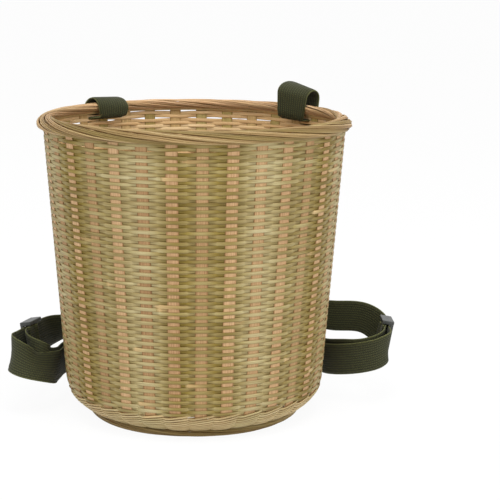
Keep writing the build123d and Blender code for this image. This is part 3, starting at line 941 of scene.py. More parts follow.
def stake_path(number):
    """Points of one stake, from the rim down to the flat bottom, each with its outward direction."""
    out = stake_direction(number)
    proud = -proud_step if number % 2 else proud_step
    runs = [shoulder_run + (wall_run - shoulder_run) * step / wall_steps for step in range(wall_steps, 0, -1)]
    runs += [shoulder_run * step / wall_steps for step in range(wall_steps, -1, -1)]
    top_run = shoulder_run + (strip_top - corner_height + shoulder_radius * sin(taper)) / cos(taper)
    path = []
    for run in [top_run, *runs]:
        hold = min(run / shoulder_run, 1.0)
        radius, height, slope = wall_point(run, stake_middle_depth - proud * hold)
        height += (layer_step / 2) * (1 - hold)
        path.append((out * radius + UP * height, out * sin(slope) - UP * cos(slope)))
    return path


print("points of a stake", len(stake_path(0)))

# %% Paths across the bottom
bar_steps = 48
bar_margin = 3


def crossing(first, second):
    """How far along the first bar it meets the second, as a share of its length, or None."""
    start, along = first[0], first[1] - first[0]
    other, across = second[0], second[1] - second[0]
    area = along.x * across.y - along.y * across.x
    gap = other - start
    share = (gap.x * across.y - gap.y * across.x) / area
    reach = (gap.x * along.y - gap.y * along.x) / area
    return share if 0 <= share <= 1 and 0 <= reach <= 1 else None


def bar_of(stakes):
    """The straight stretch of a strip across the bottom, from one turning point to the other."""
    return [stake_direction(number) * turn_radius for number in stakes]


def weave_level(knots, share):
    """Height above the mat's middle at a share of a bar's length, over and under its crossings."""
    for (low, low_level), (high, high_level) in zip(knots, knots[1:]):
        if low <= share <= high:
            ease_share = (1 - cos(pi * (share - low) / (high - low))) / 2
            return low_level + (high_level - low_level) * ease_share
    return knots[-1][1]


def bar_path(bar, others, first_level):
    """Points of a strip across the bottom, woven over and under the strips that it crosses."""
    meets = sorted((share, sign) for share, sign in (
        (crossing(bar, other), first_level * (-1) ** place) for place, other in enumerate(others)
    ) if share is not None)
    knots = [(0.0, 0.0)] + [(share, sign * layer_step / 2) for share, sign in meets] + [(1.0, 0.0)]
    path = []
    for step in range(bar_margin, bar_steps - bar_margin + 1):
        share = step / bar_steps
        place = bar[0].lerp(bar[1], share) + UP * (mat_level + weave_level(knots, share))
        path.append((place, -UP))
    return path


side_bars = [bar_of(pair) for pair in side_pairs]
front_bars = [bar_of(pair) for pair in front_pairs]
half_bar = [stake_direction(0) * turn_radius, stake_direction(0) * (turn_radius - half_strip_length)]
print("bars across the bottom", len(side_bars) + len(front_bars))


# %% Strips
proud_tone = 0.1
# Deeper stakes take more of the browner stake colour, which is painted shade.
deep_stake_shade = 0.62
mat_tone = 0.4


def strip_mesh(name, path, tones):
    """A row of joined points that carries its outward direction, its length so far and its tone."""
    mesh = bpy.data.meshes.new(name)
    mesh.from_pydata([place for place, facing in path], [(i, i + 1) for i in range(len(path) - 1)], [])
    facing = mesh.attributes.new("facing", "FLOAT_VECTOR", "POINT")
    facing.data.foreach_set("vector", [value for place, out in path for value in out])
    travelled = [0.0]
    for (first, _), (second, _) in zip(path, path[1:]):
        travelled.append(travelled[-1] + (second - first).length)
    for label, values in (("along", travelled), ("tone", tones)):
        layer = mesh.attributes.new(label, "FLOAT", "POINT")
        layer.data.foreach_set("value", values)
    return mesh


def make_strip(node, number, path, tones):
    """Sweep one strip along its path."""
    changes = {"Strip": float(number), "Material": stake_bamboo}
    line = strip_mesh(f"path_{node}", path, tones)
    strip = grow(f"bamboo_{node}", strip_tree, strip_sizes, changes, line)
    return dress(strip, "basket", "bamboo_stake", node)


def stake_tone(number):
    """Stakes with an odd number lie a little deeper and are painted browner, as painted shade from the wefts
    beside them.
    """
    return deep_stake_shade if number % 2 else proud_tone


strips = []
for group, first_level, pairs, bars, others in (
    ("side", 1, side_pairs, side_bars, front_bars),
    ("front", -1, front_pairs, front_bars, side_bars),
):
    for place, ((start, end), bar) in enumerate(zip(pairs, bars)):
        rise = stake_path(start)
        fall = stake_path(end)[::-1]
        middle = bar_path(bar, others, first_level * (-1) ** place)
        tones = [stake_tone(start)] * len(rise) + [mat_tone] * len(middle) + [stake_tone(end)] * len(fall)
        node = f"{group}_strip_{place + 1}"
        strips.append(make_strip(node, len(strips) + 1, rise + middle + fall, tones))
half_path = stake_path(0) + bar_path(half_bar, side_bars, -1)
strips.append(make_strip("half_strip", len(strips) + 1, half_path, [proud_tone] * len(half_path)))
print("strips", len(strips), "faces each", len(strips[0].data.polygons))

# %% [markdown]
# The rim and the foot
#
# The rim is a rope of splints wound round the hoops that hold the stakes. Each splint travels round the
# basket and round the roll at the same time, and a few neighbours lie close together as a bundle with a
# dark gap to the next. A tree copies one line for each splint and bends it by two angles. The foot hoop
# is made the same way, with fewer and wider splints.

# %% Winding tree
rim_ring_radius = 114.0 * MM
stray_waves = 2.2
stray_step = 3.3
bundle_waves = 1.7
bundle_step = 5.1
bundle_sway = 0.5
stray_sway = 0.3
bundle_dome = 1.6
stray_width = 0.3
second_bundle_tone = 0.3
bundle_drift = 0.8
winding_tone = 0.32
back_painted_light = 0.45
winding_seed_step = 31.0
winding_sizes = {
    "Ring radius": rim_ring_radius, "Ring height": 225.0 * MM, "Half width": 6.0 * MM,
    "Half height": 4.8 * MM, "Slant": 0.0, "Splints": 21, "Bundle": 3.0, "Bundle gap": 0.22, "Wraps": 3.0,
    "Points": 360, "Splint width": 1.3 * MM, "Splint thickness": 1.2 * MM, "Looseness": 1.2 * MM,
    "Seed": 1.0, "Material": None,
}


def ring_noise(tree, turn, waves, level):
    """Noise between -0.5 and 0.5 that closes on itself round the basket."""
    return noise(tree, join_xyz(tree, turn.cosine() * waves, turn.sine() * waves, level), 1.0) - 0.5


def wound_splints(tree, size):
    """Splints that go round the basket and round a roll at the same time, in bundles of a few."""
    copies = tree.nodes.new("GeometryNodeDuplicateElements")
    copies.domain = "SPLINE"
    plug(tree, copies.inputs["Geometry"], evenly_spaced(tree, size["Points"]))
    plug(tree, copies.inputs["Amount"], size["Splints"])
    number = Wire(tree, copies.outputs["Duplicate Index"])
    round_share = add_node(tree, "GeometryNodeSplineParameter", out=2) / size["Points"]
    turn = round_share * (2 * pi)
    bundle = (number / size["Bundle"]).floor()
    in_bundle = (number % size["Bundle"] + 0.5) / size["Bundle"]
    bundle_place = bundle + in_bundle * (1.0 - size["Bundle gap"])
    splint_share = bundle_place * size["Bundle"] / size["Splints"]
    stray = ring_noise(tree, turn, stray_waves, number * stray_step + size["Seed"])
    shared = ring_noise(tree, turn, bundle_waves, bundle * bundle_step + size["Seed"])
    wound = (splint_share + round_share * size["Wraps"]) * (2 * pi)
    roll = wound + shared * bundle_sway + stray * stray_sway
    off_middle = in_bundle - 0.5
    dome = off_middle * off_middle * (size["Splint thickness"] * bundle_dome)
    inset = size["Splint thickness"] * 0.5 + dome - stray * size["Looseness"]
    across_reach = size["Half width"] - inset
    up_reach = size["Half height"] - inset
    slant_reach = across_reach * size["Slant"]
    radius = roll.sine() * across_reach + size["Ring radius"]
    height = roll.cosine() * up_reach - roll.sine() * slant_reach + size["Ring height"]
    place = join_xyz(tree, radius * turn.cosine(), radius * turn.sine(), height)
    face_out = roll.sine() * up_reach + roll.cosine() * slant_reach
    face = join_xyz(tree, face_out * turn.cosine(), face_out * turn.sine(), roll.cosine() * across_reach)
    placed = add_node(tree, "GeometryNodeSetPosition",
                      {"Geometry": Wire(tree, copies.outputs[0]), "Position": place})
    closed = add_node(tree, "GeometryNodeSetSplineCyclic", {"Geometry": placed, "Cyclic": True})
    faced = add_node(tree, "GeometryNodeSetCurveNormal", {"Curve": closed, "Normal": face}, {"mode": "FREE"})
    bundle_tone = (bundle % 2.0) * second_bundle_tone + shared * bundle_drift + winding_tone
    traited = carry_all(tree, faced, {
        "along": turn * size["Ring radius"],
        "splint": number + size["Seed"] * winding_seed_step,
        # Painted light: the rim's colour turns paler towards the back of the basket.
        "tone": (bundle_tone - turn.sine() * back_painted_light).share(),
    })
    section = flat_section(tree, size["Splint width"], size["Splint thickness"])
    return add_node(tree, "GeometryNodeCurveToMesh",
                    {"Curve": traited, "Profile Curve": section, "Scale": stray * stray_width + 1.0})


winding_tree, winding_in = start_tree("wound splints", winding_sizes)
end_tree(winding_tree, wound_splints(winding_tree, winding_in), winding_in["Material"])

# %% Rim and foot
rim_lift = 1.4 * MM
rim_flattening = 0.5 * MM
rim_slant = 0.35
rim_half_width = rim_high.x - rim_ring_radius
foot_radius = 79.3 * MM
rim = grow("rim_splints", winding_tree, winding_sizes, {
    "Ring height": (rim_low.z + rim_high.z) / 2 + rim_lift, "Half width": rim_half_width,
    "Half height": (rim_high.z - rim_low.z) / 2 - rim_flattening, "Slant": rim_slant, "Material": rim_bamboo,
})
dress(rim, "basket", "bamboo_rim", "rim_roll")
foot = grow("foot_splints", winding_tree, winding_sizes, {
    "Ring radius": foot_radius, "Ring height": (foot_low.z + foot_high.z) / 2,
    "Half width": foot_high.x - foot_radius, "Half height": (foot_high.z - foot_low.z) / 2,
    "Splints": 9, "Wraps": 2.0, "Points": 240, "Splint width": 1.75 * MM, "Looseness": 0.2 * MM,
    "Seed": 4.0, "Material": foot_bamboo,
})
dress(foot, "basket", "bamboo_foot", "foot_hoop")
for node in ("rim_hoop_inner", "rim_hoop_outer"):
    refinish(node, hoop_bamboo)
print("rim faces", len(rim.data.polygons), "foot faces", len(foot.data.polygons))

# %% [markdown]
# Webbing as a ribbon on a path
#
# Flat webbing is a ribbon with a little thickness: a row of sections along a path, each with a centre,
# the way its face looks and its width. Where the real webbing is drawn together, the section folds into
# pleats. The ribbon carries a map measured in metres, so that the weave keeps its scale however the strap
# bends.


# %% Ribbon helper
webbing_width = 25.0 * MM
webbing_thickness = 1.6 * MM
ribbon_steps = 14
edge_thickness = (0.45, 0.92)


def ribbon_ring(shell, station, travelled):
    """The points of one section of a ribbon, each with its place across the webbing and along it."""
    centre, facing, across, width, pleat = station
    ring = []
    for side, order in ((1, range(ribbon_steps + 1)), (-1, range(ribbon_steps, -1, -1))):
        for step in order:
            share = step / ribbon_steps
            from_edge = min(step, ribbon_steps - step)
            thinned = edge_thickness[from_edge] if from_edge < len(edge_thickness) else 1.0
            half = webbing_thickness / 2 * thinned
            fold = pleat * (1 if step % 4 in (1, 2) else -1)
            spot = centre + across * (width * (share - 0.5)) + facing * (half * side + fold)
            ring.append((shell.verts.new(spot), (share - 0.5) * webbing_width, travelled))
    return ring


def ribbon(name, stations):
    """A closed ribbon through stations: centre, face direction, width direction, width and pleat depth."""
    mesh = bpy.data.meshes.new(name)
    shell = bmesh.new()
    tape = shell.loops.layers.uv.new("tape")

    def add_face(*corners):
        """One face, with its corners' places on the webbing as its map."""
        face = shell.faces.new([corner[0] for corner in corners])
        for loop, corner in zip(face.loops, corners):
            loop[tape].uv = corner[1:]
        return face

    travelled = 0.0
    rings = []
    for place, station in enumerate(stations):
        if place:
            travelled += (station[0] - stations[place - 1][0]).length
        rings.append(ribbon_ring(shell, station, travelled))
    count = len(rings[0])
    for low, high in zip(rings, rings[1:]):
        for place in range(count):
            beside = (place + 1) % count
            add_face(low[place], low[beside], high[beside], high[place]).smooth = True
    for ring in (rings[0], rings[-1]):
        for step in range(count // 2 - 1):
            add_face(ring[step], ring[step + 1], ring[count - 2 - step], ring[count - 1 - step])
    bmesh.ops.recalc_face_normals(shell, faces=shell.faces)
    shell.to_mesh(mesh)
    shell.free()
    turn_outwards(mesh)
    mesh.materials.append(olive_webbing)
    piece = bpy.data.objects.new(name, mesh)
    scene.collection.objects.link(piece)
    return piece


print("ribbon helper ready")


# %% Path helpers
def clamped(value):
    """A value kept between 0 and 1."""
    return min(max(value, 0.0), 1.0)


def eased(value):
    """A share that leaves 0 and reaches 1 gently."""
    share = clamped(value)
    return share * share * (3 - 2 * share)


def headings(path):
    """Direction of travel at each point of a path."""
    around = [path[0], *path, path[-1]]
    return [(after - before).normalized() for before, after in zip(around, around[2:])]


def smooth_path(points, start_heading, end_heading, steps):
    """Even samples of the smoothest curve through points, leaving and arriving in given directions."""
    knots = np.array([list(point) for point in points])
    chords = np.linalg.norm(np.diff(knots, axis=0), axis=1)
    at = np.concatenate([[0.0], np.cumsum(chords)])
    count = len(knots)
    system = np.zeros((count, count))
    target = np.zeros((count, 3))
    system[0, 0] = system[-1, -1] = 1.0
    target[0] = list(start_heading)
    target[-1] = list(end_heading)
    for i in range(1, count - 1):
        before, after = chords[i - 1], chords[i]
        system[i, i - 1: i + 2] = (after, 2 * (before + after), before)
        rise = (knots[i] - knots[i - 1]) / before * after + (knots[i + 1] - knots[i]) / after * before
        target[i] = 3 * rise
    slopes = np.linalg.solve(system, target)
    samples = []
    for value in np.linspace(0.0, at[-1], steps + 1):
        i = min(int(np.searchsorted(at, value, side="right")) - 1, count - 2)
        span = chords[i]
        s = (value - at[i]) / span
        spot = (knots[i] * (2 * s**3 - 3 * s**2 + 1) + slopes[i] * span * (s**3 - 2 * s**2 + s)
                + knots[i + 1] * (3 * s**2 - 2 * s**3) + slopes[i + 1] * span * (s**3 - s**2))
        samples.append(Vector(spot))
    return samples


print("path helpers ready")

# %% [markdown]
# The straps' places
#
# Each strap is described once: its side, where its loop sits on the rim, where its slider lies, and the
# points that its webbing passes. A point is given as an angle from the back, a distance off the wall and
# a height above the lower hold, which is how one would measure it with a tape on the real basket.

# %% Strap descriptions
anchor_height = base_underside + 27.2 * MM
anchor_stand_off = 9.0 * MM
gathered_width = 10.0 * MM
slider_length = 20.0 * MM
slider_travel = 10.0 * MM
sewn_length = 13.0 * MM
slider_lean = radians(10.0)
slide_gap = 0.3 * MM
core_level = -4.0 * MM


def radius_at(height):
    """Radius of the wall's outer face at a height."""
    wall_start = corner_height - shoulder_radius * sin(taper)
    if height >= wall_start:
        return flat_radius + shoulder_radius * cos(taper) + (height - wall_start) * sin(taper) / cos(taper)
    return flat_radius + sqrt(shoulder_radius**2 - (corner_height - height) ** 2)


class Strap:
    """One shoulder strap: its side, its loop over the rim, its slider's place and its route."""

    def __init__(self, name, side, loop_angle, turn, roll_in, slider_at, upper, lower, inner):
        self.name = name
        self.side = side
        self.roll_in = radians(roll_in)
        self.bearing = radians(90 - side * loop_angle)
        self.out = Vector((cos(self.bearing), sin(self.bearing), 0))
        self.aside = UP.cross(self.out)
        self.stake_place = (self.bearing - stake_turn) * stake_count / (2 * pi)
        self.stake_out = stake_direction(round(self.stake_place))
        self.heading = Vector((sin(radians(turn)), -cos(radians(turn)), 0))
        self.upper = [self.point(*at) for at in upper]
        self.lower = [self.point(*at) for at in lower]
        self.inner = [self.point(*at) for at in inner]
        self.slider_middle = self.point(*slider_at)
        self.facing = self.outward(self.heading, slider_lean)
        self.across = self.facing.cross(self.heading)

    def point(self, angle, off_wall, rise):
        """Place at an angle from the back, a distance off the wall and a height above the lower hold."""
        height = anchor_height + rise * MM
        bearing = radians(90 - self.side * angle)
        reach = radius_at(height) + off_wall * MM
        return Vector((reach * cos(bearing), reach * sin(bearing), height))

    def hold(self, height):
        """Place on the swing axis, outside the stake that the lower turn goes round."""
        spot = self.stake_out * (radius_at(anchor_height) + anchor_stand_off)
        return Vector((spot.x, spot.y, height))

    def outward(self, along, lean):
        """Direction out of the arm loop, square to a direction along the webbing."""
        level = UP.cross(along).normalized() * self.side
        return Matrix.Rotation(-self.side * lean, 3, along) @ level


print("lower hold", round(anchor_height / MM, 1), "mm up")

# %% Routes of the two straps
right_strap = Strap(
    "right", side=1, loop_angle=48.5, turn=0.0, roll_in=0.0, slider_at=(81.4, 52.4, 17.0),
    upper=[(53.5, 16.6, 28.0), (60.5, 28.4, 25.5), (66.0, 43.4, 26.0), (69.9, 53.0, 22.4)],
    lower=[(92.3, 45.9, 14.0), (92.1, 33.8, 9.0), (87.1, 18.2, 4.0), (78.4, 8.7, 0.0), (66.3, 6.5, -0.5),
           (54.8, 7.4, 8.5)],
    inner=[(90.0, 42.8, 15.0), (90.8, 34.6, 11.5), (86.1, 20.4, 7.5), (77.9, 11.8, 3.5), (66.3, 9.7, 2.0),
           (54.9, 10.4, 9.0), (49.1, 10.8, 11.4)],
)
left_strap = Strap(
    "left", side=-1, loop_angle=42.9, turn=-20.0, roll_in=48.0, slider_at=(80.3, 28.8, 16.0),
    upper=[(51.2, 15.6, 19.0), (61.0, 22.6, 16.0), (65.6, 25.8, 16.0)],
    lower=[(93.2, 39.0, 16.0), (98.2, 37.2, 13.5), (100.6, 27.0, 8.0), (97.3, 13.4, 3.0), (87.8, 6.0, 0.0),
           (75.2, 6.0, -0.5), (61.3, 6.2, -0.5), (49.5, 7.4, 8.5)],
    inner=[(90.4, 27.6, 14.5), (93.8, 24.6, 12.5), (95.4, 19.2, 10.0), (94.4, 13.4, 6.0), (87.5, 9.1, 1.5),
           (75.2, 9.2, 0.0), (61.4, 9.5, 0.0), (49.7, 10.4, 8.5), (43.6, 10.8, 11.4)],
)
straps = [right_strap, left_strap]
print("slider places", [tuple(round(v / MM, 1) for v in strap.slider_middle) for strap in straps])

# %% [markdown]
# The straps and their inner layers
#
# Each strap leaves its upper hold, runs straight through its slider and comes back to its lower hold. The
# webbing stands on its edge, is narrow where it is held and spreads to its full width further out. A
# second layer lies inside it, from the slider to the lower hold. When the slider moves, that layer has to
# follow it at one end and the strap at the other.

# %% How the webbing stands and spreads
gather_reach = 8.0 * MM
spread_reach = 30.0 * MM
strap_pleat = 0.45 * MM


def spread(strap, place, narrow):
    """Width of the webbing at a place: narrow near its hold and full further out."""
    hold = strap.hold(0.0)
    away = hypot(place.x - hold.x, place.y - hold.y)
    return narrow + (webbing_width - narrow) * eased((away - gather_reach) / spread_reach)


def edge_stations(strap, path, narrow, start_lean, end_lean, roll_in, roll_end):
    """Stations of webbing that stands on its edge along a path and may roll inwards on the way."""
    stations = []
    for place, (centre, along) in enumerate(zip(path, headings(path))):
        share = place / (len(path) - 1)
        rolled = roll_in * sin(pi * min(share / roll_end, 1.0)) ** 2
        lean = start_lean + (end_lean - start_lean) * share - rolled
        facing = strap.outward(along, lean)
        width = spread(strap, centre, narrow)
        pleat = strap_pleat * (1 - width / webbing_width)
        stations.append((centre, facing, facing.cross(along), width, pleat))
    return stations


def level_heading(start, end):
    """Level direction from one place towards another."""
    return Vector((end.x - start.x, end.y - start.y, 0)).normalized()


print("webbing", round(webbing_width / MM), "mm wide")

# %% Straps and inner layers
knuckle_gap = 0.3 * MM
upper_hold_width = 20.0 * MM
upper_knuckle_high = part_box("right_strap_webbing")[1].z
upper_knuckle_low = upper_knuckle_high - upper_hold_width
lower_knuckle_low = anchor_height + gathered_width / 2 + knuckle_gap
lower_knuckle_high = lower_knuckle_low + gathered_width
slider_approach = 5 * slide_gap
upper_steps = 44
lower_steps = 72
upper_roll = 0.75
lower_roll_end = 0.46
inner_roll = 0.55
inner_roll_end = 0.4
loose_length = 22.0 * MM


def make_strap(strap):
    """The strap: out from its upper hold, straight through the slider, and back to its lower hold."""
    start = strap.hold((upper_knuckle_low + upper_knuckle_high) / 2)
    before = strap.slider_middle - strap.heading * (slider_length / 2 + slider_travel + slider_approach)
    after = strap.slider_middle + strap.heading * (sewn_length + slider_travel + slide_gap)
    end = strap.hold((lower_knuckle_low + lower_knuckle_high) / 2)
    upper = [start, *strap.upper, before]
    lower = [after, *strap.lower, end]
    upper_path = smooth_path(upper, level_heading(*upper[:2]), strap.heading, upper_steps)
    lower_path = smooth_path(lower, strap.heading, level_heading(*lower[-2:]), lower_steps)
    rolled = strap.roll_in * upper_roll
    stations = edge_stations(strap, upper_path, upper_hold_width, 0.0, slider_lean, rolled, 1.0)
    stations += edge_stations(
        strap, lower_path, gathered_width, slider_lean, 0.0, strap.roll_in, lower_roll_end
    )
    piece = ribbon(f"{strap.name}_strap_tape", stations)
    return dress(piece, f"{strap.name}_strap", "webbing", f"{strap.name}_strap_webbing")


def make_inner(strap):
    """The inner layer: from the sewn end back along the inside of the strap to the lower hold."""
    start = strap.slider_middle + strap.heading * (sewn_length + slide_gap) + strap.facing * core_level
    points = [start, *strap.inner]
    path = smooth_path(points, strap.heading, level_heading(*points[-2:]), lower_steps)
    rolled = strap.roll_in * inner_roll
    stations = edge_stations(strap, path, gathered_width, slider_lean, 0.0, rolled, inner_roll_end)
    piece = ribbon(f"{strap.name}_inner_tape", stations)
    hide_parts(f"{strap.name}_inner_layer")
    inward = Vector((-strap.side, 0, 0))
    start + inward * loose_length
    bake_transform(piece)
    return piece


for strap in straps:
    tape = make_strap(strap)
    inner = make_inner(strap)
    print(strap.name, "strap faces", len(tape.data.polygons), "inner faces", len(inner.data.polygons))

# %% [markdown]
# Loops, hanging webbing and lower turns
#
# The top of each strap goes over the rim, down inside, out between two stakes and is sewn to itself. The
# right loop stands up loosely and leans, while the left one lies lower. Soft webbing twists as it goes
# over, so the leg inside the basket is turned a little against the one outside. Below the loop the
# webbing hangs down the back and draws together, and at the bottom it goes round one stake.

# %% Outline of a loop
loop_gap = 0.3 * MM
neck_drop = 2.6 * MM
loop_tail = 22.0 * MM
loop_inset = 4.4 * MM
leg_narrowing = 0.03
leg_bottom_inset = 0.3 * MM
leg_bottom_width = 0.84
fold_inset = 1.6 * MM
fold_drop = 1.0 * MM
fold_width = 0.76
fold_turn = 0.9
fold_neck = 0.1
fold_narrowing = 0.6
neck_width = gathered_width / webbing_width
outer_leg = rim_high.x + loop_gap + webbing_thickness / 2
rim_inside = rim_high.x - 2 * rim_half_width
inner_leg = sqrt(rim_inside**2 - (webbing_width / 2) ** 2) - loop_gap - webbing_thickness / 2
neck_height = band_top - neck_drop
loop_low = neck_height - loop_tail
leg_bottom = band_top + 0.5 * MM


def loop_outline(strap):
    """Radius, height, width, turn and neck shares of the loop, from its outer leg to its tail."""
    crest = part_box(f"{strap.name}_rim_loop")[1].z - webbing_thickness / 2
    bend = (outer_leg - inner_leg) / 2
    middle = (outer_leg + inner_leg) / 2
    spring = crest - bend
    inside = inner_leg - loop_inset
    tail = outer_leg - webbing_thickness
    outline = [(outer_leg, loop_low + (spring - loop_low) * step / 8, 1.0, 0.0, 0.0) for step in range(9)]
    for step in range(1, 15):
        angle = pi * step / 14
        share = (1 - cos(angle)) / 2
        radius = middle + bend * cos(angle) - loop_inset * share
        outline.append((radius, spring + bend * sin(angle), 1.0, share, 0.0))
    drop = spring - leg_bottom
    for step in range(1, 4):
        outline.append((inside, spring - drop * step / 4, 1.0 - leg_narrowing * step, 1.0, 0.0))
    outline.append((inside + leg_bottom_inset, leg_bottom, leg_bottom_width, 1.0, 0.0))
    fold = inside + fold_inset
    fold_height = leg_bottom - fold_drop
    outline.append((fold, fold_height, fold_width, fold_turn, fold_neck))
    for step in range(1, 5):
        share = step / 4
        height = fold_height + (neck_height - fold_height) * share
        width = max(neck_width, fold_width - fold_narrowing * share)
        radius = fold + (tail - fold) * share
        outline.append((radius, height, width, fold_turn * (1 - share), min(2 * share, 1.0)))
    for step in range(1, 7):
        opened = min(step / 4, 1.0)
        height = neck_height - loop_tail * step / 6
        outline.append((tail, height, neck_width + (1 - neck_width) * opened, 0.0, 1.0 - opened))
    return outline


print("loops hang down to", round(loop_low / MM, 1), "mm")

# %% Loops over the rim
loop_turn = {"right": radians(30.0), "left": radians(-25.0)}
loop_tilt = {"right": 0.26, "left": 0.03}
crest_shift = {"right": -3.5 * MM, "left": -4.8 * MM}
leg_shift = {"right": -1.0 * MM, "left": -4.8 * MM}
leg_tilt = 0.55
loop_pleat = 0.5 * MM


def make_loop(strap):
    """The loop over the rim, drawn together where it passes through the wall."""
    gap_bearing = stake_bearing(round(strap.stake_place - 0.5) + 0.5)
    neck_shift = radius_at(neck_height) * sin(gap_bearing - strap.bearing)
    outline = loop_outline(strap)
    crest = max(height for radius, height, *rest in outline)
    path = [strap.out * radius + UP * height for radius, height, *rest in outline]
    stations = []
    for spot, heading, (radius, height, share, turned, necked) in zip(path, headings(path), outline):
        turn = Matrix.Rotation(loop_turn[strap.name] * turned, 3, "Z")
        level = turn @ strap.aside
        facing = level.cross(turn @ heading)
        lift = clamped((height - rim_low.z) / (rim_high.z - rim_low.z))
        tilt = loop_tilt[strap.name] * (leg_tilt * turned + (1 - leg_tilt * turned) * lift)
        across = (level + UP * tilt).normalized()
        rise = clamped((height - rim_low.z) / (crest - rim_low.z))
        beside = neck_shift * necked + crest_shift[strap.name] * rise
        beside += leg_shift[strap.name] * turned * (1 - rise) * (1 - necked)
        pleat = loop_pleat * (1 - share)
        stations.append((spot + strap.aside * beside, facing, across, webbing_width * share, pleat))
    piece = ribbon(f"{strap.name}_loop_tape", stations)
    return dress(piece, "basket", "webbing", f"{strap.name}_rim_loop")


print("loops lean by", loop_tilt)

# %% Loops and hanging webbing
hanging_steps = 40
drawn_width = 5.0 * MM
drawn_reach = 40.0 * MM
hanging_pleat = 0.9 * MM
hanging_sway = 2.0 * MM


def make_hanging(strap):
    """The stretch that hangs from the loop and draws together above the strap's upper hold."""
    top = strap.out * outer_leg + UP * loop_low
    end = strap.hold(upper_knuckle_high + knuckle_gap)
    stations = []
    for step in range(hanging_steps + 1):
        share = step / hanging_steps
        left = (end - top).length * (1 - share)
        width = drawn_width + (webbing_width - drawn_width) * eased((left - gather_reach) / drawn_reach)
        pleat = hanging_pleat * (1 - width / webbing_width)
        sway = sin(pi * share) * hanging_sway
        stations.append((top.lerp(end, share) + strap.out * sway, strap.out, strap.aside, width, pleat))
    piece = ribbon(f"{strap.name}_hanging_tape", stations)
    return dress(piece, "basket", "webbing", f"{strap.name}_hanging_webbing")


for strap in straps:
    loop = make_loop(strap)
    hanging = make_hanging(strap)
    print(strap.name, "loop faces", len(loop.data.polygons), "hanging faces", len(hanging.data.polygons))


# %% Lower turns
wall_depth = 2.4 * MM
turn_half_depth = 1.2 * MM
turn_side_gap = 2.0 * MM
turn_pleat = 0.35 * MM
turn_steps = 56


def make_turn(strap):
    """The lower turn: a drawn-together band that goes round one stake and out to the swing axis."""
    out = strap.stake_out
    aside = UP.cross(out)
    wall = radius_at(anchor_height)
    tip = wall + anchor_stand_off
    behind = radius_at(anchor_height - gathered_width / 2) - wall_depth - knuckle_gap - turn_half_depth
    leg = stake_width / 2 + turn_side_gap
    outline = [(tip, 0.6 * MM), (tip - 6.0 * MM, 2.6 * MM), (wall + 1.5 * MM, leg), (behind + 2.5 * MM, leg),
               (behind, leg - 2.0 * MM), (behind, 0.0)]
    there = [out * radius + aside * beside + UP * anchor_height for radius, beside in outline]
    back = [out * radius - aside * beside + UP * anchor_height for radius, beside in outline[-2::-1]]
    path = smooth_path(there + back, -out, out, turn_steps)
    stations = [(centre, UP.cross(along), UP, gathered_width, turn_pleat)
                for centre, along in zip(path, headings(path))]
    piece = ribbon(f"{strap.name}_turn_tape", stations)
    return dress(piece, "basket", "webbing", f"{strap.name}_lower_turn")


for strap in straps:
    turned = make_turn(strap)
    print(strap.name, "turn faces", len(turned.data.polygons))

# %% [markdown]
# The sewn ends and the sliders
#
# The end of the inner layer goes round the slider's middle bar and is sewn flat on to itself. A short
# ribbon that goes round the bar shows that, and it travels with the slider. The slider is a plain
# moulding, so the engineering model's own solid stays in place and only gets a better material.

# %% Sewn ends
bar_radius = 1.3 * MM
lap_steps = 5
bar_turn_steps = 12
bar_turn_start = radians(50)
bar_turn = radians(260)


def make_sewn(strap):
    """The sewn end: the webbing goes round the slider's middle bar and lies flat on itself."""
    core = strap.slider_middle + strap.facing * core_level
    radius = bar_radius + webbing_thickness / 2
    lift = strap.facing * (webbing_thickness / 2)
    laps = [core + strap.heading * (sewn_length * step / lap_steps) for step in range(1, lap_steps + 1)]
    stations = [(spot + lift, strap.facing) for spot in reversed(laps)]
    for step in range(bar_turn_steps + 1):
        angle = bar_turn_start + bar_turn * step / bar_turn_steps
        arm = strap.heading * cos(angle) + strap.facing * sin(angle)
        stations.append((core + arm * radius, arm))
    stations += [(spot - lift, -strap.facing) for spot in laps]
    full = [(centre, facing, strap.across, webbing_width, 0.0) for centre, facing in stations]
    piece = ribbon(f"{strap.name}_sewn_tape", full)
    return dress(piece, f"{strap.name}_slider", "webbing", f"{strap.name}_sewn_end")


for strap in straps:
    sewn = make_sewn(strap)
    refinish(f"{strap.name}_slider", slider_plastic)
    print(strap.name, "sewn faces", len(sewn.data.polygons))

# %% [markdown]
# The stitches
#
# A stitch is a short length of thread that comes up through the webbing, lies on it and goes down again.
# The script writes one short line for each stitch with the way that its webbing faces. A tree then bows
# every line outwards in the middle and sweeps a round thread along it, thinner at both ends where it goes
# through.

# %% Stitch tree
def bowed_stitches(tree, size):
    """Threads swept along short lines that bow outwards in the middle."""
    lines = add_node(tree, "GeometryNodeMeshToCurve", {"Mesh": size["Path"]})
    fine = add_node(tree, "GeometryNodeResampleCurve", {"Curve": lines, "Count": 7}, {"mode": "COUNT"})
    rise = (add_node(tree, "GeometryNodeSplineParameter") * pi).sine()
    lift = tree.nodes.new("ShaderNodeVectorMath")
    lift.operation = "SCALE"
    plug(tree, lift.inputs[0], outward_directions(tree))
    plug(tree, lift.inputs["Scale"], rise * size["Bow"])
    offset = Wire(tree, lift.outputs[0])
    bowed = add_node(tree, "GeometryNodeSetPosition", {"Geometry": fine, "Offset": offset})
    thread = add_node(tree, "GeometryNodeCurvePrimitiveCircle",
                      {"Resolution": 8, "Radius": size["Thread width"] * 0.5})
    return add_node(tree, "GeometryNodeCurveToMesh",
                    {"Curve": bowed, "Profile Curve": thread, "Scale": rise * 0.5 + 0.5, "Fill Caps": True})


stitch_sizes = {"Thread width": 0.7 * MM, "Bow": 0.3 * MM, "Material": None}
stitch_tree, stitch_in = start_tree("stitches", stitch_sizes)
end_tree(stitch_tree, bowed_stitches(stitch_tree, stitch_in), stitch_in["Material"])


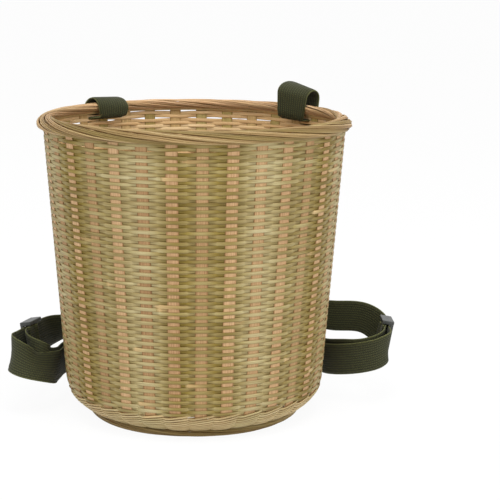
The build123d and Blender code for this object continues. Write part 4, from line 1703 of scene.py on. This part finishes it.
# %% Stitches on the loops
stitch_rows = 5
stitches_per_row = 4
half_stitch = UP * (1.7 * MM)
row_spacing = webbing_width / (stitch_rows + 1)
stitch_spacing = loop_tail / (stitches_per_row + 1)


def make_stitches(strap):
    """Rows of stitches that hold the loop's tail, on the outside of the webbing."""
    middle = strap.out * (outer_leg + webbing_thickness / 2) + UP * (neck_height + loop_low) / 2
    points = []
    for row in range(stitch_rows):
        beside = strap.aside * ((row - (stitch_rows - 1) / 2) * row_spacing)
        for column in range(stitches_per_row):
            above = UP * ((column - (stitches_per_row - 1) / 2) * stitch_spacing)
            centre = middle + beside + above
            points += [centre - half_stitch, centre + half_stitch]
    lines = bpy.data.meshes.new(f"{strap.name}_stitch_lines")
    lines.from_pydata(points, [(i, i + 1) for i in range(0, len(points), 2)], [])
    facing = lines.attributes.new("facing", "FLOAT_VECTOR", "POINT")
    facing.data.foreach_set("vector", list(strap.out) * len(points))
    piece = grow(f"{strap.name}_stitches", stitch_tree, stitch_sizes, {"Material": sewing_thread}, lines)
    return dress(piece, "basket", "thread", f"{strap.name}_loop_stitches")


for strap in straps:
    stitches = make_stitches(strap)
    print(strap.name, "stitch faces", len(stitches.data.polygons))

# %% [markdown]
# Floor and light
#
# A pale floor, a large soft lamp on each side and a third one from above give the even light of a shop
# photograph. The floor looks nearly white to the camera and still takes the basket's shadow.


# %% Floor
floor_reach = 25.0
floor_grey = 0.9
floor_glow = 0.93


def show_background(tree, lit, seen, strength, output):
    """Show one shader to the rays that look for a background and another to the light.

    Those rays go straight to the camera, are mirrored, or pass through something clear.
    """
    rays = tree.nodes.new("ShaderNodeLightPath")
    straight, mirrored, through = (
        Wire(tree, rays.outputs[f"Is {kind} Ray"]) for kind in ("Camera", "Glossy", "Transmission")
    )
    mix = tree.nodes.new("ShaderNodeMixShader")
    plug(tree, mix.inputs[0], (straight + mirrored + through).share() * strength)
    tree.links.new(lit.outputs[0], mix.inputs[1])
    tree.links.new(seen.outputs[0], mix.inputs[2])
    tree.links.new(mix.outputs[0], output.inputs["Surface"])


def make_floor():
    """A wide pale floor that the camera sees as nearly white."""
    mesh = bpy.data.meshes.new("floor")
    corners = [(-1, -1, 0), (1, -1, 0), (1, 1, 0), (-1, 1, 0)]
    mesh.from_pydata([Vector(corner) * floor_reach for corner in corners], [], [(0, 1, 2, 3)])
    floor = bpy.data.objects.new("floor", mesh)
    scene.collection.objects.link(floor)
    material, tree, shader = start_material("pale_floor")
    shader.inputs["Base Color"].default_value = (floor_grey, floor_grey, floor_grey, 1.0)
    shader.inputs["Roughness"].default_value = 0.9
    glow = tree.nodes.new("ShaderNodeEmission")
    show_background(tree, shader, glow, floor_glow, tree.nodes["Material Output"])
    mesh.materials.append(material)


make_floor()
print("floor", 2 * floor_reach, "m wide")


# %% World and lamps
daylight = 0.73
lamp_size = 0.9
basket_middle = (0.0, 0.0, 0.12)
back_wall = (0.0, 0.08, 0.2)


def make_world():
    """A white backdrop for the camera, and a softer even light for everything else."""
    world = bpy.data.worlds.new("studio")
    world.use_nodes = True
    scene.world = world
    tree = world.node_tree
    tree.nodes.clear()
    even = tree.nodes.new("ShaderNodeBackground")
    white = tree.nodes.new("ShaderNodeBackground")
    for backdrop in (even, white):
        backdrop.inputs["Color"].default_value = (1.0, 1.0, 1.0, 1.0)
    even.inputs["Strength"].default_value = daylight
    show_background(tree, even, white, 1.0, tree.nodes.new("ShaderNodeOutputWorld"))


def add_lamp(name, place, aim, power):
    """A soft square lamp at a place, turned towards an aim."""
    lamp = bpy.data.lights.new(name, "AREA")
    lamp.size = lamp_size
    lamp.energy = power
    holder = bpy.data.objects.new(name, lamp)
    turn = (Vector(aim) - Vector(place)).to_track_quat("-Z", "Y")
    holder.matrix_world = Matrix.Translation(Vector(place)) @ turn.to_matrix().to_4x4()
    scene.collection.objects.link(holder)


make_world()
add_lamp("key_lamp", (-0.7, -1.3, 1.1), basket_middle, 6.3)
add_lamp("fill_lamp", (1.2, -0.9, 0.7), basket_middle, 5.0)
add_lamp("top_lamp", (0.1, -0.5, 1.6), back_wall, 19.0)
print("lamps", 3)

# %% Finish
bpy.context.view_layer.update()
